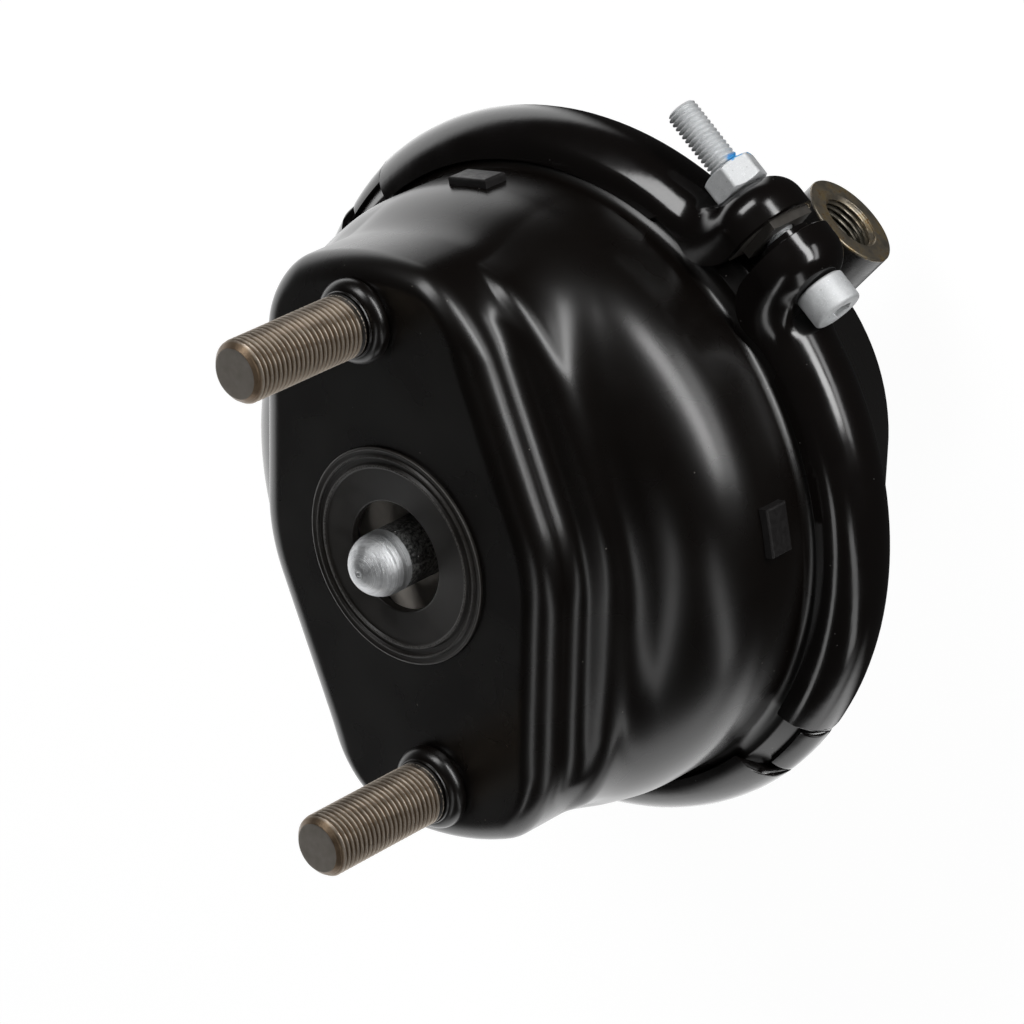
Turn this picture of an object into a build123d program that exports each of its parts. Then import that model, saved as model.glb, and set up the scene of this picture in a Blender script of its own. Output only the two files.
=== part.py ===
"""Air disc brake service chamber of the clamped diaphragm kind, as separate pieces.

Frame, in millimetres: the origin is the centre of the flat mounting face, +Z is the way the pushrod
comes out, and +X runs from the middle to the first stud. Depths are measured back from that face.
"""

import os
from math import atan2, cos, degrees, radians, sin, sqrt, tan

from build123d import *

# ---- mounting face and its two studs
STUD_SPACING = 120.65
STUD_D = 16.0
STUD_LENGTH = 41.9
STUD_CHAMFER = 1.7
STUD_COLLAR_D = 21.6
STUD_COLLAR_HEIGHT = 4.2
STUD_COLLAR_ROUND = 2.4
STUD_HOLE_FIT = 0.25
STUD_HEAD_D = 26.0
STUD_HEAD_HEIGHT = 5.0
STUD_HEAD_CHAMFER = 1.2
STUD_FLAT_ROOM = 0.8

# ---- front housing: a drawn shell with a rhomboid face, a step round it and a domed shoulder
SHEET = 3.0
FACE_END_MARGIN = 15.675
FACE_TAPER = 13.0
FACE_CORNER_R = 14.0
FACE_EDGE_R = 8.0
STEP_DEPTH = 14.0
STEP_WIDTH = 10.5
STEP_END_SETBACK = 1.0
STEP_CORNER_R = 10.0
STEP_EDGE_R = 6.5
VALLEY_R = 3.5
WALL_SETBACK = 4.0
SHOULDER_R = 25.0
SHOULDER_DEPTH = 20.0
FRONT_WALL_LENGTH = 25.9

# ---- clamped joint between the two housings
BEAD_THICKNESS = 4.0
RIM_WIDTH = 8.0
RIM_SHOULDER = 4.3
RIM_FIT = 0.1
RIM_ROOT_R = 4.0

# ---- clamp band: one bent strip of V section, with a closed ear at each end
BAND_SHEET = 2.6
BAND_ROOM = 2.0
BAND_GRIP = 7.4
BAND_CROWN_WIDTH = 7.8
BAND_WIDTH = 25.4
BAND_CLOCK = -49.0
EAR_GAP = 6.4
EAR_DEPTH = 11.5
EAR_RISE = 3.5
EAR_EDGE_R = 5.0
NOTCH_LENGTH = 21.0
NOTCH_WEB = 10.0
NOTCH_CORNER_R = 4.0
NOTCH_CLOCKS = (90.0, -90.0)

# ---- clamp bolt, nut and the fillers inside the ears
BOLT_D = 8.0
BOLT_RISE = 2.3
BOLT_TAIL = 18.8
BOLT_CHAMFER = 0.7
BOLT_HOLE_FIT = 0.5
BOLT_HEAD_D = 13.0
BOLT_HEAD_HEIGHT = 8.0
BOLT_SOCKET_AF = 6.0
BOLT_SOCKET_DEPTH = 4.5
NUT_AF = 13.0
NUT_HEIGHT = 6.8
NUT_TURN = 25.0
NUT_FIT = 0.05
INSERT_FIT = 0.2
INSERT_NOSE_WIDTH = 14.0
INSERT_NOSE_RISE = 6.6
INSERT_NOSE_GAP = 1.6

# ---- pressure housing: a conical cup with a flat back
REAR_WALL_LENGTH = 17.1
REAR_CONE_DEPTH = 49.0
REAR_CONE = 36.5
REAR_BEND_R = 16.0
REAR_EDGE_R = 14.0

# ---- air port, placed down the cone and standing out from it
PORT_CLOCK = -48.4
PORT_TILT = 17.7
PORT_DROP = 20.5
PORT_REACH = 20.87
PORT_BOSS_D = 25.8
PORT_THREAD_MINOR_D = 14.38
PORT_THREAD_LENGTH = 14.0
PORT_CHAMFER = 0.9
PORT_HOLE_D = 9.0
WELD_GAP = 0.05

# ---- mouth seal, the guide behind it and the spring seat that holds both
SEAL_R = 28.0
SEAL_FIT = 0.1
SEAL_OPENING_R = 14.2
SEAL_WEB_R = 21.0
SEAL_PROUD = 0.8
SEAL_RIDGE = 0.5
SEAL_RIDGE_WIDTH = 0.9
SEAL_RIDGE_SETBACKS = (4.5, 2.2)
SEAL_LIP_THICKNESS = 2.4
SEAL_CATCH = 1.8
SEAL_CATCH_THICKNESS = 2.0
GUIDE_R = 22.0
GUIDE_THICKNESS = 3.0
GUIDE_DEPTH = 9.5
GUIDE_FIT = 0.08
GUIDE_HUB_WALL = 3.0
GUIDE_HUB_RISE = 1.2
SEAT_SHEET = 2.0
SEAT_FIT = 0.2
SEAT_FLANGE = 5.5
SEAT_LIP = 14.0
SEAT_ROOM = 0.5

# ---- pushrod, push plate, spring and diaphragm
ROD_D = 16.0
ROD_TIP = 13.8
ROD_NECK_D = 12.0
PLATE_SHEET = 3.0
PLATE_RIM = 7.0
PLATE_RIM_ROUND = 4.5
PLATE_ROOM = 3.7
PLATE_HUB_R = 16.0
PLATE_HUB_HEIGHT = 4.0
PLATE_HUB_DRAFT = 2.0
DIAPHRAGM_T = 3.2
DIAPHRAGM_GAP = 0.3
SPRING_WIRE_D = 4.6
SPRING_FIT = 1.0
SPRING_TAPER = 8.3
SPRING_COILS = 5.0

# ---- drain plugs in the round wall
PLUG_CLOCKS = (0.0, 90.0, 180.0, -90.0)
PLUG_DROP = 2.0
PLUG_CAP = (12.4, 7.2)
PLUG_CAP_PROUD = 2.5
PLUG_CAP_ROUND = 0.6
PLUG_BODY = (8.4, 4.4)
PLUG_FIT = 0.2
PLUG_CATCH = 1.2

# How far a cutting tool runs past what it cuts, and how near counts as the same place
CUT = 5.0
NEAR = 0.01

# ---- values that follow from the ones above
STUD_R = STUD_SPACING / 2
FACE_END_R = STUD_R + FACE_END_MARGIN
WALL_R = FACE_END_R + WALL_SETBACK
SEAL_CATCH_R = SEAL_R + SEAL_CATCH
SEAT_HUB_R = SEAL_CATCH_R + SEAT_FIT + SEAT_SHEET
SEAT_FLANGE_R = SEAT_HUB_R + SEAT_FLANGE
FACE_HALF_WIDTH = SEAT_FLANGE_R + SEAT_ROOM + FACE_EDGE_R
CLAMP_DEPTH = SHOULDER_DEPTH + SHOULDER_R + FRONT_WALL_LENGTH
FRONT_RIM_Z = -(CLAMP_DEPTH - BEAD_THICKNESS / 2)
REAR_RIM_Z = -(CLAMP_DEPTH + BEAD_THICKNESS / 2)
RIM_R = WALL_R + RIM_WIDTH
BAND_CROWN_R = RIM_R + BAND_ROOM + BAND_SHEET
BAND_LIP_R = BAND_CROWN_R - BAND_GRIP
FLANK = atan2(BAND_GRIP, (BAND_WIDTH - BAND_CROWN_WIDTH) / 2)
EAR_CENTRE_R = BAND_CROWN_R + EAR_RISE
EAR_HALF_WIDTH = BAND_WIDTH / 2
EAR_FACE = EAR_GAP / 2 + EAR_DEPTH
BOLT_R = EAR_CENTRE_R + BOLT_RISE
BOLT_HOLE_D = BOLT_D + 2 * BOLT_HOLE_FIT
REAR_WALL_END = CLAMP_DEPTH + REAR_WALL_LENGTH
REAR_DEPTH = REAR_WALL_END + REAR_CONE_DEPTH
PORT_FACE_DEPTH = REAR_WALL_END + PORT_DROP
PORT_FACE_R = WALL_R - PORT_DROP * tan(radians(REAR_CONE)) + PORT_REACH
PLATE_BACK_Z = -(REAR_DEPTH - SHEET - DIAPHRAGM_T - 2 * DIAPHRAGM_GAP)
SEAT_LIP_R = SEAT_HUB_R - SEAT_LIP
SEAT_LIP_Z = -(GUIDE_DEPTH + GUIDE_THICKNESS + GUIDE_FIT)
SPRING_FRONT_R = SEAT_HUB_R + SPRING_FIT + SPRING_WIRE_D / 2
SPRING_REAR_R = SPRING_FRONT_R - SPRING_TAPER
PLATE_R = SPRING_REAR_R + SPRING_WIRE_D / 2 + PLATE_ROOM + PLATE_SHEET
PLUG_DEPTH = SHOULDER_DEPTH + SHOULDER_R + PLUG_DROP


def turned(points, start=0.0, arc=360.0):
    """A body turned about Z from an outline of (radius, height) points."""
    return revolve(make_face(Plane.XZ * Polyline(*points, close=True)), Axis.Z, revolution_arc=arc)


def disc(radius, low, high):
    """A plain cylinder on Z between two heights."""
    return Pos(0, 0, low) * Cylinder(radius, high - low, align=(Align.CENTER, Align.CENTER, Align.MIN))


def clamp_plane(along):
    """The plane across the clamp bolt, at a distance along it from the middle of the gap.

    Its X points away from the chamber's axis, its Y towards the mounting face.
    """
    clock = radians(BAND_CLOCK)
    out = Vector(cos(clock), sin(clock), 0)
    tangent = Vector(-sin(clock), cos(clock), 0)
    return Plane(origin=tangent * along + Vector(0, 0, -CLAMP_DEPTH), x_dir=out, z_dir=-tangent)


# ---- front housing

def rhomboid(half_width, end_r, corner_r):
    """The plan of a two-bolt face: tapering sides round a middle circle, and round ends."""
    taper = radians(FACE_TAPER)
    reach = end_r + CUT
    apex = half_width / cos(taper)
    side = apex - reach * tan(taper)
    corners = [(-reach, -side), (0, -apex), (reach, -side), (reach, side), (0, apex), (-reach, side)]
    plan = make_face(Polyline(*corners, close=True)) & Circle(end_r)
    middle = plan.vertices().filter_by(lambda v: abs(v.X) < NEAR)
    plan = fillet(middle, half_width)
    ends = [v for v in plan.vertices() if sqrt(v.X**2 + v.Y**2) > end_r - NEAR]
    return fillet(ends, corner_r)


def raised_form(half_width, end_r, corner_r, top, edge_r):
    """A rhomboid platform with its top edge rounded."""
    low = top - STEP_DEPTH - SHOULDER_DEPTH
    block = Pos(0, 0, low) * extrude(rhomboid(half_width, end_r, corner_r), top - low)
    rim = block.edges().filter_by(lambda e: abs(e.center().Z - top) < NEAR)
    return fillet(rim, edge_r)


def dome_form(inset):
    """The round body of the front housing, from its shoulder to the clamped joint."""
    centre_r = WALL_R - SHOULDER_R
    top = -SHOULDER_DEPTH - inset
    wall = WALL_R - inset
    springing = -SHOULDER_DEPTH - SHOULDER_R
    outline = Line((0, FRONT_RIM_Z), (0, top))
    outline += Line((0, top), (centre_r, top))
    outline += RadiusArc((centre_r, top), (wall, springing), SHOULDER_R - inset)
    outline += Line((wall, springing), (wall, FRONT_RIM_Z))
    outline += Line((wall, FRONT_RIM_Z), (0, FRONT_RIM_Z))
    return revolve(make_face(Plane.XZ * outline), Axis.Z)


def front_form(inset):
    """The whole drawn form with every face moved in by inset."""
    face = raised_form(FACE_HALF_WIDTH - inset, FACE_END_R - inset, FACE_CORNER_R - inset,
                       -inset, FACE_EDGE_R - inset)
    step = raised_form(FACE_HALF_WIDTH + STEP_WIDTH - inset, FACE_END_R - STEP_END_SETBACK - inset,
                       STEP_CORNER_R - inset, -STEP_DEPTH - inset, STEP_EDGE_R - inset)
    raised = step + face
    valley = raised.edges().filter_by(lambda e: abs(e.center().Z + STEP_DEPTH + inset) < NEAR)
    return dome_form(inset) + fillet(valley, VALLEY_R + inset)


def rim_ring(wall_r, side):
    """The flared rim that the clamp band pulls on; side is 1 in front of the joint and -1 behind it.

    Its outer face lies along the inside of the band's flank.
    """
    lip_r = BAND_LIP_R - (BAND_SHEET + RIM_FIT) * cos(FLANK)
    lip_z = BAND_WIDTH / 2 - (BAND_SHEET + RIM_FIT) * sin(FLANK)
    edge_z = lip_z - (RIM_R - lip_r) / tan(FLANK)
    shoulder_r = wall_r + RIM_SHOULDER
    shoulder_z = lip_z - (shoulder_r - lip_r) / tan(FLANK)
    inner = wall_r - SHEET
    joint = BEAD_THICKNESS / 2
    top = shoulder_z + RIM_ROOT_R
    outline = [(inner, joint), (RIM_R, joint), (RIM_R, edge_z), (shoulder_r, shoulder_z),
               (wall_r, shoulder_z), (wall_r, top), (inner, top)]
    ring = turned([(r, -CLAMP_DEPTH + side * z) for r, z in outline])
    root = ring.edges().filter_by(GeomType.CIRCLE)
    root = root.filter_by(lambda e: abs(e.center().Z + CLAMP_DEPTH - side * shoulder_z) < NEAR)
    root = root.filter_by(lambda e: abs(e.radius - wall_r) < NEAR)
    return fillet(root, RIM_ROOT_R - RIM_FIT)


def plug_block(clock, size, near, far):
    """A square-cornered block on the round wall, between two radii."""
    block = Box(far - near, size[0], size[1], align=(Align.MIN, Align.CENTER, Align.CENTER))
    return Rot(0, 0, clock) * (Pos(near, 0, -PLUG_DEPTH) * block)


def front_housing():
    shell = front_form(0) + rim_ring(WALL_R, 1) - front_form(SHEET)
    shell -= disc(SEAL_R + SEAL_FIT, -SHEET - CUT, CUT)
    for side in (-1, 1):
        hole = disc(STUD_COLLAR_D / 2 + STUD_HOLE_FIT, -SHEET - CUT, CUT)
        shell -= Pos(side * STUD_R, 0, 0) * hole
    window = (PLUG_BODY[0] + 2 * PLUG_FIT, PLUG_BODY[1] + 2 * PLUG_FIT)
    for clock in PLUG_CLOCKS:
        shell -= plug_block(clock, window, WALL_R - SHEET - CUT, WALL_R + CUT)
    return shell


def drain_plug(clock):
    """A push-in plug: a cap over the wall, a body through it and a catch behind it."""
    cap = plug_block(clock, PLUG_CAP, WALL_R - CUT, WALL_R + PLUG_CAP_PROUD)
    outer = cap.faces().sort_by_distance(Rot(0, 0, clock) * Vertex(WALL_R + CUT, 0, -PLUG_DEPTH))[0]
    cap = fillet(outer.edges(), PLUG_CAP_ROUND)
    cap -= disc(WALL_R + WELD_GAP, -PLUG_DEPTH - CUT * 2, -PLUG_DEPTH + CUT * 2)
    body = plug_block(clock, PLUG_BODY, WALL_R - SHEET - PLUG_CATCH * 2, WALL_R + PLUG_CAP_PROUD / 2)
    catch_size = (PLUG_BODY[0] + 2 * PLUG_CATCH, PLUG_BODY[1])
    far = sqrt((WALL_R - SHEET) ** 2 - (catch_size[0] / 2) ** 2) - PLUG_FIT
    catch = plug_block(clock, catch_size, far - PLUG_CATCH * 2, far)
    return cap + body + catch


def stud(side):
    """A headed stud put through the face from inside, with a rounded collar at its foot.

    A flat on the head, beside the face's end, keeps it from turning.
    """
    back = -SHEET - STUD_HEAD_HEIGHT
    head = disc(STUD_HEAD_D / 2, back, -SHEET)
    head = chamfer(head.edges().filter_by(GeomType.CIRCLE), STUD_HEAD_CHAMFER)
    flat = FACE_END_R - FACE_EDGE_R - STUD_R - STUD_FLAT_ROOM
    head -= Pos(flat, 0, back) * Box(STUD_HEAD_D, STUD_HEAD_D * 2, STUD_HEAD_HEIGHT * 2,
                                     align=(Align.MIN, Align.CENTER, Align.CENTER))
    collar = disc(STUD_COLLAR_D / 2, -SHEET, STUD_COLLAR_HEIGHT)
    collar = fillet(collar.edges().sort_by(Axis.Z)[-1:], STUD_COLLAR_ROUND)
    shank = disc(STUD_D / 2, 0, STUD_LENGTH)
    shank = chamfer(shank.edges().sort_by(Axis.Z)[-1:], STUD_CHAMFER)
    return Rot(0, 0, 90 - side * 90) * (Pos(STUD_R, 0, 0) * (head + collar + shank))


# ---- pressure housing and its port

def rear_form(inset, top=REAR_RIM_Z):
    """The cup's solid form with every face moved in by inset."""
    cone = radians(REAR_CONE)
    wall = WALL_R - inset
    wall_end = -REAR_WALL_END + inset * tan(cone / 2)
    back = -REAR_DEPTH + inset
    back_r = WALL_R + ((back + REAR_WALL_END) * sin(cone) - inset) / cos(cone)
    cup = turned([(0, top), (wall, top), (wall, wall_end), (back_r, back), (0, back)])
    rings = cup.edges().filter_by(GeomType.CIRCLE).sort_by(Axis.Z)
    cup = fillet(rings[0:1], REAR_EDGE_R - inset)
    bend = cup.edges().filter_by(GeomType.CIRCLE)
    bend = bend.filter_by(lambda e: abs(e.center().Z - wall_end) < NEAR)
    return fillet(bend, REAR_BEND_R - inset)


def port_plane(depth):
    """The plane across the air port, at a depth in from its end face, facing out."""
    clock = radians(PORT_CLOCK)
    tilt = radians(PORT_TILT)
    out = Vector(cos(clock) * cos(tilt), sin(clock) * cos(tilt), -sin(tilt))
    face = Vector(PORT_FACE_R * cos(clock), PORT_FACE_R * sin(clock), -PORT_FACE_DEPTH)
    return Plane(origin=face - out * depth, x_dir=Vector(-sin(clock), cos(clock), 0), z_dir=out)


def port_pin(diameter, near, far):
    """A cylinder on the port's axis between two depths from its end face."""
    return extrude(port_plane(far) * Circle(diameter / 2), far - near)


def pressure_housing():
    shell = rear_form(0) + rim_ring(WALL_R, -1) - rear_form(SHEET)
    return shell - port_pin(PORT_HOLE_D, -CUT, PORT_FACE_R / 2)


def port_boss():
    """The welded steel boss, shaped to the cone, with a blind thread and a hole to the inside."""
    boss = port_pin(PORT_BOSS_D, 0, PORT_FACE_R / 2) - rear_form(-WELD_GAP)
    boss -= port_pin(PORT_THREAD_MINOR_D, -CUT, PORT_THREAD_LENGTH)
    mouth = extrude(port_plane(PORT_CHAMFER) * Circle(PORT_THREAD_MINOR_D / 2),
                    PORT_CHAMFER * 2, taper=-45)
    return boss - mouth - port_pin(PORT_HOLE_D, -CUT, PORT_FACE_R / 2)


# ---- clamp band, bolt and nut

def band_outline(inset):
    """The V section, as (radius, height) points from its front lip round to its back lip."""
    half, crown = BAND_WIDTH / 2, BAND_CROWN_WIDTH / 2
    lip_r = BAND_LIP_R - inset * cos(FLANK)
    lip_z = half - inset * sin(FLANK)
    crown_r = BAND_CROWN_R - inset
    crown_z = crown - inset * tan(FLANK / 2)
    return [(lip_r, lip_z), (crown_r, crown_z), (crown_r, -crown_z), (lip_r, -lip_z)]


def ear_plan(inset):
    """The ear seen along the bolt: straight sides and a half-round top, down to inside the lips."""
    half = EAR_HALF_WIDTH - inset
    sides = BAND_LIP_R - BAND_SHEET
    low = Pos((EAR_CENTRE_R + sides) / 2, 0) * Rectangle(EAR_CENTRE_R - sides, 2 * half)
    return low + Pos(EAR_CENTRE_R, 0) * Circle(half)


def ear_block(inset, side, near, far, edge_r):
    """A solid ear between two distances along the bolt, with its far edge rounded."""
    plane = clamp_plane(side * near)
    block = extrude(plane * ear_plan(inset), -side * (far - near))
    far_point = clamp_plane(side * far).origin
    face = block.faces().sort_by_distance(far_point + clamp_plane(0).x_dir * EAR_CENTRE_R)[0]
    top = face.edges().filter_by(lambda e: (clamp_plane(0).to_local_coords(e.center())).X > BAND_LIP_R)
    return fillet(top, edge_r)


def rim_space():
    """The room that the two rims and the bead take up inside the band."""
    flanks = band_outline(BAND_SHEET)
    lip_r, lip_z = flanks[0]
    outline = [(0, 2 * lip_z), (lip_r, 2 * lip_z)] + flanks + [(lip_r, -2 * lip_z), (0, -2 * lip_z)]
    return turned([(r, z - CLAMP_DEPTH) for r, z in outline])


def bolt_pin(diameter, near, far):
    """A cylinder on the clamp bolt's axis, between two distances along it."""
    return extrude(clamp_plane(near) * Pos(BOLT_R, 0) * Circle(diameter / 2), -(far - near))


def band_notch(clock, side):
    """A rounded bite out of one flank, which lets the band flex open."""
    height = (BAND_WIDTH - NOTCH_WEB) / 2 + CUT
    bite = RectangleRounded(NOTCH_LENGTH, height, NOTCH_CORNER_R)
    middle = NOTCH_WEB / 2 + height / 2
    out = Plane(origin=(BAND_LIP_R - CUT, 0, -CLAMP_DEPTH), x_dir=(0, 1, 0), z_dir=(1, 0, 0))
    block = extrude(out * Pos(0, side * middle) * bite, BAND_CROWN_R - BAND_LIP_R + 2 * CUT)
    return Rot(0, 0, BAND_CLOCK + clock) * block


def clamp_band():
    section = band_outline(0) + list(reversed(band_outline(BAND_SHEET)))
    band = turned([(r, z - CLAMP_DEPTH) for r, z in section])
    gap = extrude(clamp_plane(EAR_FACE - BAND_SHEET) * Pos(BAND_CROWN_R, 0)
                  * Rectangle(BAND_WIDTH * 2, BAND_WIDTH * 2), 2 * (EAR_FACE - BAND_SHEET))
    band -= gap
    for side in (-1, 1):
        ear = ear_block(0, side, EAR_GAP / 2, EAR_FACE, EAR_EDGE_R)
        cup = ear_block(BAND_SHEET, side, 0, EAR_FACE - BAND_SHEET, EAR_EDGE_R - BAND_SHEET)
        band = band + (ear - rim_space()) - cup
    band -= bolt_pin(BOLT_HOLE_D, -EAR_FACE - CUT, EAR_FACE + CUT)
    for clock in NOTCH_CLOCKS:
        for side in (-1, 1):
            band -= band_notch(clock, side)
    return band


def clamp_bolt():
    """A socket-head screw across the band's gap."""
    head = bolt_pin(BOLT_HEAD_D, -EAR_FACE - BOLT_HEAD_HEIGHT, -EAR_FACE)
    hexagon = clamp_plane(-EAR_FACE - BOLT_HEAD_HEIGHT) * Pos(BOLT_R, 0)
    head -= extrude(hexagon * RegularPolygon(BOLT_SOCKET_AF / 2, 6, major_radius=False),
                    -BOLT_SOCKET_DEPTH)
    tip = EAR_FACE + NUT_HEIGHT + BOLT_TAIL
    shank = bolt_pin(BOLT_D, -EAR_FACE, tip)
    beyond = clamp_plane(tip + CUT)
    end = shank.faces().sort_by_distance(beyond.origin + beyond.x_dir * BOLT_R)[0]
    return head + chamfer(end.edges(), BOLT_CHAMFER)


def clamp_nut():
    """A hexagon nut against the ear, its corners chamfered by a cone."""
    plane = clamp_plane(EAR_FACE) * Pos(BOLT_R, 0) * Rot(0, 0, NUT_TURN)
    nut = extrude(plane * RegularPolygon(NUT_AF / 2, 6, major_radius=False), -NUT_HEIGHT)
    round_r = NUT_AF / sqrt(3)
    cone = extrude(plane * Circle(round_r + NUT_HEIGHT), -NUT_HEIGHT, taper=45)
    return (nut & cone) - bolt_pin(BOLT_D + 2 * NUT_FIT, EAR_FACE - CUT, EAR_FACE + NUT_HEIGHT + CUT)


def ear_insert(side):
    """The steel filler that keeps an ear from crushing, with its nose out in the gap."""
    inner = EAR_FACE - BAND_SHEET
    body = ear_block(BAND_SHEET + INSERT_FIT, side, EAR_GAP / 2, inner, EAR_EDGE_R - BAND_SHEET)
    body -= disc(BAND_CROWN_R - BAND_SHEET, -REAR_DEPTH, 0)
    nose = clamp_plane(side * INSERT_NOSE_GAP / 2)
    if side > 0:
        height = BOLT_R + INSERT_NOSE_RISE - BAND_CROWN_R
        shape = Pos(BAND_CROWN_R + height / 2, 0) * Rectangle(height, INSERT_NOSE_WIDTH)
    else:
        shape = Pos(BOLT_R, 0) * Circle(INSERT_NOSE_WIDTH / 2)
    shape = nose * (shape & Pos(BOLT_R, 0) * Circle(INSERT_NOSE_WIDTH))
    body += extrude(shape, -side * (EAR_GAP - INSERT_NOSE_GAP) / 2)
    body -= disc(BAND_CROWN_R - BAND_SHEET, -REAR_DEPTH, 0)
    return body - bolt_pin(BOLT_HOLE_D, -EAR_FACE, EAR_FACE)


# ---- mouth seal, guide and spring seat

def mouth_seal():
    """A rubber ring that fills the mouth hole, caught behind the sheet, with ridges on its face."""
    front, back = SEAL_PROUD, -SHEET - SEAL_CATCH_THICKNESS
    points = [(SEAL_OPENING_R, front - SEAL_LIP_THICKNESS), (SEAL_OPENING_R, front)]
    for setback in SEAL_RIDGE_SETBACKS:
        radius = SEAL_R - setback
        near, far = radius - SEAL_RIDGE_WIDTH / 2, radius + SEAL_RIDGE_WIDTH / 2
        points += [(near, front), (near, front + SEAL_RIDGE), (far, front + SEAL_RIDGE), (far, front)]
    points += [(SEAL_R, front), (SEAL_R, -SHEET), (SEAL_CATCH_R, -SHEET), (SEAL_CATCH_R, back)]
    points += [(SEAL_WEB_R, back), (SEAL_WEB_R, front - SEAL_LIP_THICKNESS)]
    return turned(points)


def guide_disc():
    """A plastic ring that slides sideways behind the seal and keeps dirt off the rod."""
    low, high = -GUIDE_DEPTH - GUIDE_THICKNESS, -GUIDE_DEPTH
    bore = ROD_D / 2 + GUIDE_FIT
    hub = bore + GUIDE_HUB_WALL
    rise = high + GUIDE_HUB_RISE
    return turned([(bore, low), (GUIDE_R, low), (GUIDE_R, high), (hub, high), (hub, rise), (bore, rise)])


def spring_seat():
    """A pressed ring behind the face: it holds the seal, traps the guide disc, centres the spring."""
    top = -SHEET
    under = top - SEAT_SHEET
    hub = SEAT_HUB_R
    outline = [(SEAT_FLANGE_R, top), (hub - SEAT_SHEET, top), (hub - SEAT_SHEET, SEAT_LIP_Z),
               (SEAT_LIP_R, SEAT_LIP_Z), (SEAT_LIP_R, SEAT_LIP_Z - SEAT_SHEET),
               (hub, SEAT_LIP_Z - SEAT_SHEET), (hub, under), (SEAT_FLANGE_R, under)]
    return turned(outline)


# ---- the moving pieces and the two that change shape with them

def pushrod():
    """A round rod with a ball end, shouldered and riveted into the push plate."""
    radius = ROD_D / 2
    shoulder = PLATE_BACK_Z + PLATE_SHEET + PLATE_HUB_HEIGHT
    outline = Line((0, PLATE_BACK_Z), (ROD_NECK_D / 2, PLATE_BACK_Z))
    outline += Line((ROD_NECK_D / 2, PLATE_BACK_Z), (ROD_NECK_D / 2, shoulder))
    outline += Line((ROD_NECK_D / 2, shoulder), (radius, shoulder))
    outline += Line((radius, shoulder), (radius, ROD_TIP - radius))
    outline += RadiusArc((radius, ROD_TIP - radius), (0, ROD_TIP), -radius)
    outline += Line((0, ROD_TIP), (0, PLATE_BACK_Z))
    return revolve(make_face(Plane.XZ * outline), Axis.Z)


def push_plate():
    """A pressed dish with a turned-up rim and a raised hub for the rod."""
    back, front = PLATE_BACK_Z, PLATE_BACK_Z + PLATE_SHEET
    rim = PLATE_R - PLATE_SHEET
    bore = ROD_NECK_D / 2 + GUIDE_FIT
    hub_top = front + PLATE_HUB_HEIGHT
    plate = turned([(bore, back), (PLATE_R, back), (PLATE_R, back + PLATE_RIM), (rim, back + PLATE_RIM),
                    (rim, front), (PLATE_HUB_R, front), (PLATE_HUB_R - PLATE_HUB_DRAFT, hub_top),
                    (bore, hub_top)])
    outer = plate.edges().filter_by(GeomType.CIRCLE)
    outer = outer.filter_by(lambda e: abs(e.radius - PLATE_R) < NEAR and e.center().Z < back + NEAR)
    return fillet(outer, PLATE_RIM_ROUND)


def diaphragm():
    """The rubber cup, lying along the inside of the pressure housing, and its clamped bead."""
    near = SHEET + DIAPHRAGM_GAP
    cup = rear_form(near, REAR_RIM_Z + BEAD_THICKNESS) - rear_form(near + DIAPHRAGM_T, CUT - CLAMP_DEPTH)
    bead = disc(RIM_R, REAR_RIM_Z, FRONT_RIM_Z)
    bead -= disc(WALL_R - near - DIAPHRAGM_T, REAR_RIM_Z - CUT, FRONT_RIM_Z + CUT)
    return cup + bead


def return_spring():
    """An open conical coil between the spring seat and the push plate."""
    front = -SHEET - SEAT_SHEET - SPRING_WIRE_D / 2
    back = PLATE_BACK_Z + PLATE_SHEET + SPRING_WIRE_D / 2
    length = front - back
    cone = degrees(atan2(SPRING_FRONT_R - SPRING_REAR_R, length))
    path = Pos(0, 0, back) * Helix(pitch=length / SPRING_COILS, height=length,
                                   radius=SPRING_REAR_R, cone_angle=cone)
    start = path @ 0
    section = Plane(origin=start, z_dir=path % 0) * Circle(SPRING_WIRE_D / 2)
    return sweep(section, path=path, is_frenet=True)


def build():
    """Every piece, by the name of its node."""
    pieces = {
        "front_housing": front_housing(),
        "pressure_housing": pressure_housing(),
        "port_boss": port_boss(),
        "clamp_band": clamp_band(),
        "clamp_bolt": clamp_bolt(),
        "clamp_nut": clamp_nut(),
        "ear_insert_nut_side": ear_insert(1),
        "ear_insert_head_side": ear_insert(-1),
        "stud_a": stud(1),
        "stud_b": stud(-1),
        "mouth_seal": mouth_seal(),
        "guide_disc": guide_disc(),
        "spring_seat": spring_seat(),
        "pushrod": pushrod(),
        "push_plate": push_plate(),
        "return_spring": return_spring(),
        "diaphragm": diaphragm(),
    }
    for number, clock in enumerate(PLUG_CLOCKS, 1):
        pieces[f"drain_plug_{number}"] = drain_plug(clock)
    return pieces


os.makedirs("parts", exist_ok=True)
for name, shape in build().items():
    export_step(shape, f"parts/{name}.step")
    print(name, round(shape.volume))
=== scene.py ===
"""Air disc brake chamber: the looks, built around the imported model, in metres."""

from math import atan2, cos, pi, radians, sin, tan

import bmesh
import bpy
import numpy as np
from mathutils import Matrix, Vector


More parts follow.
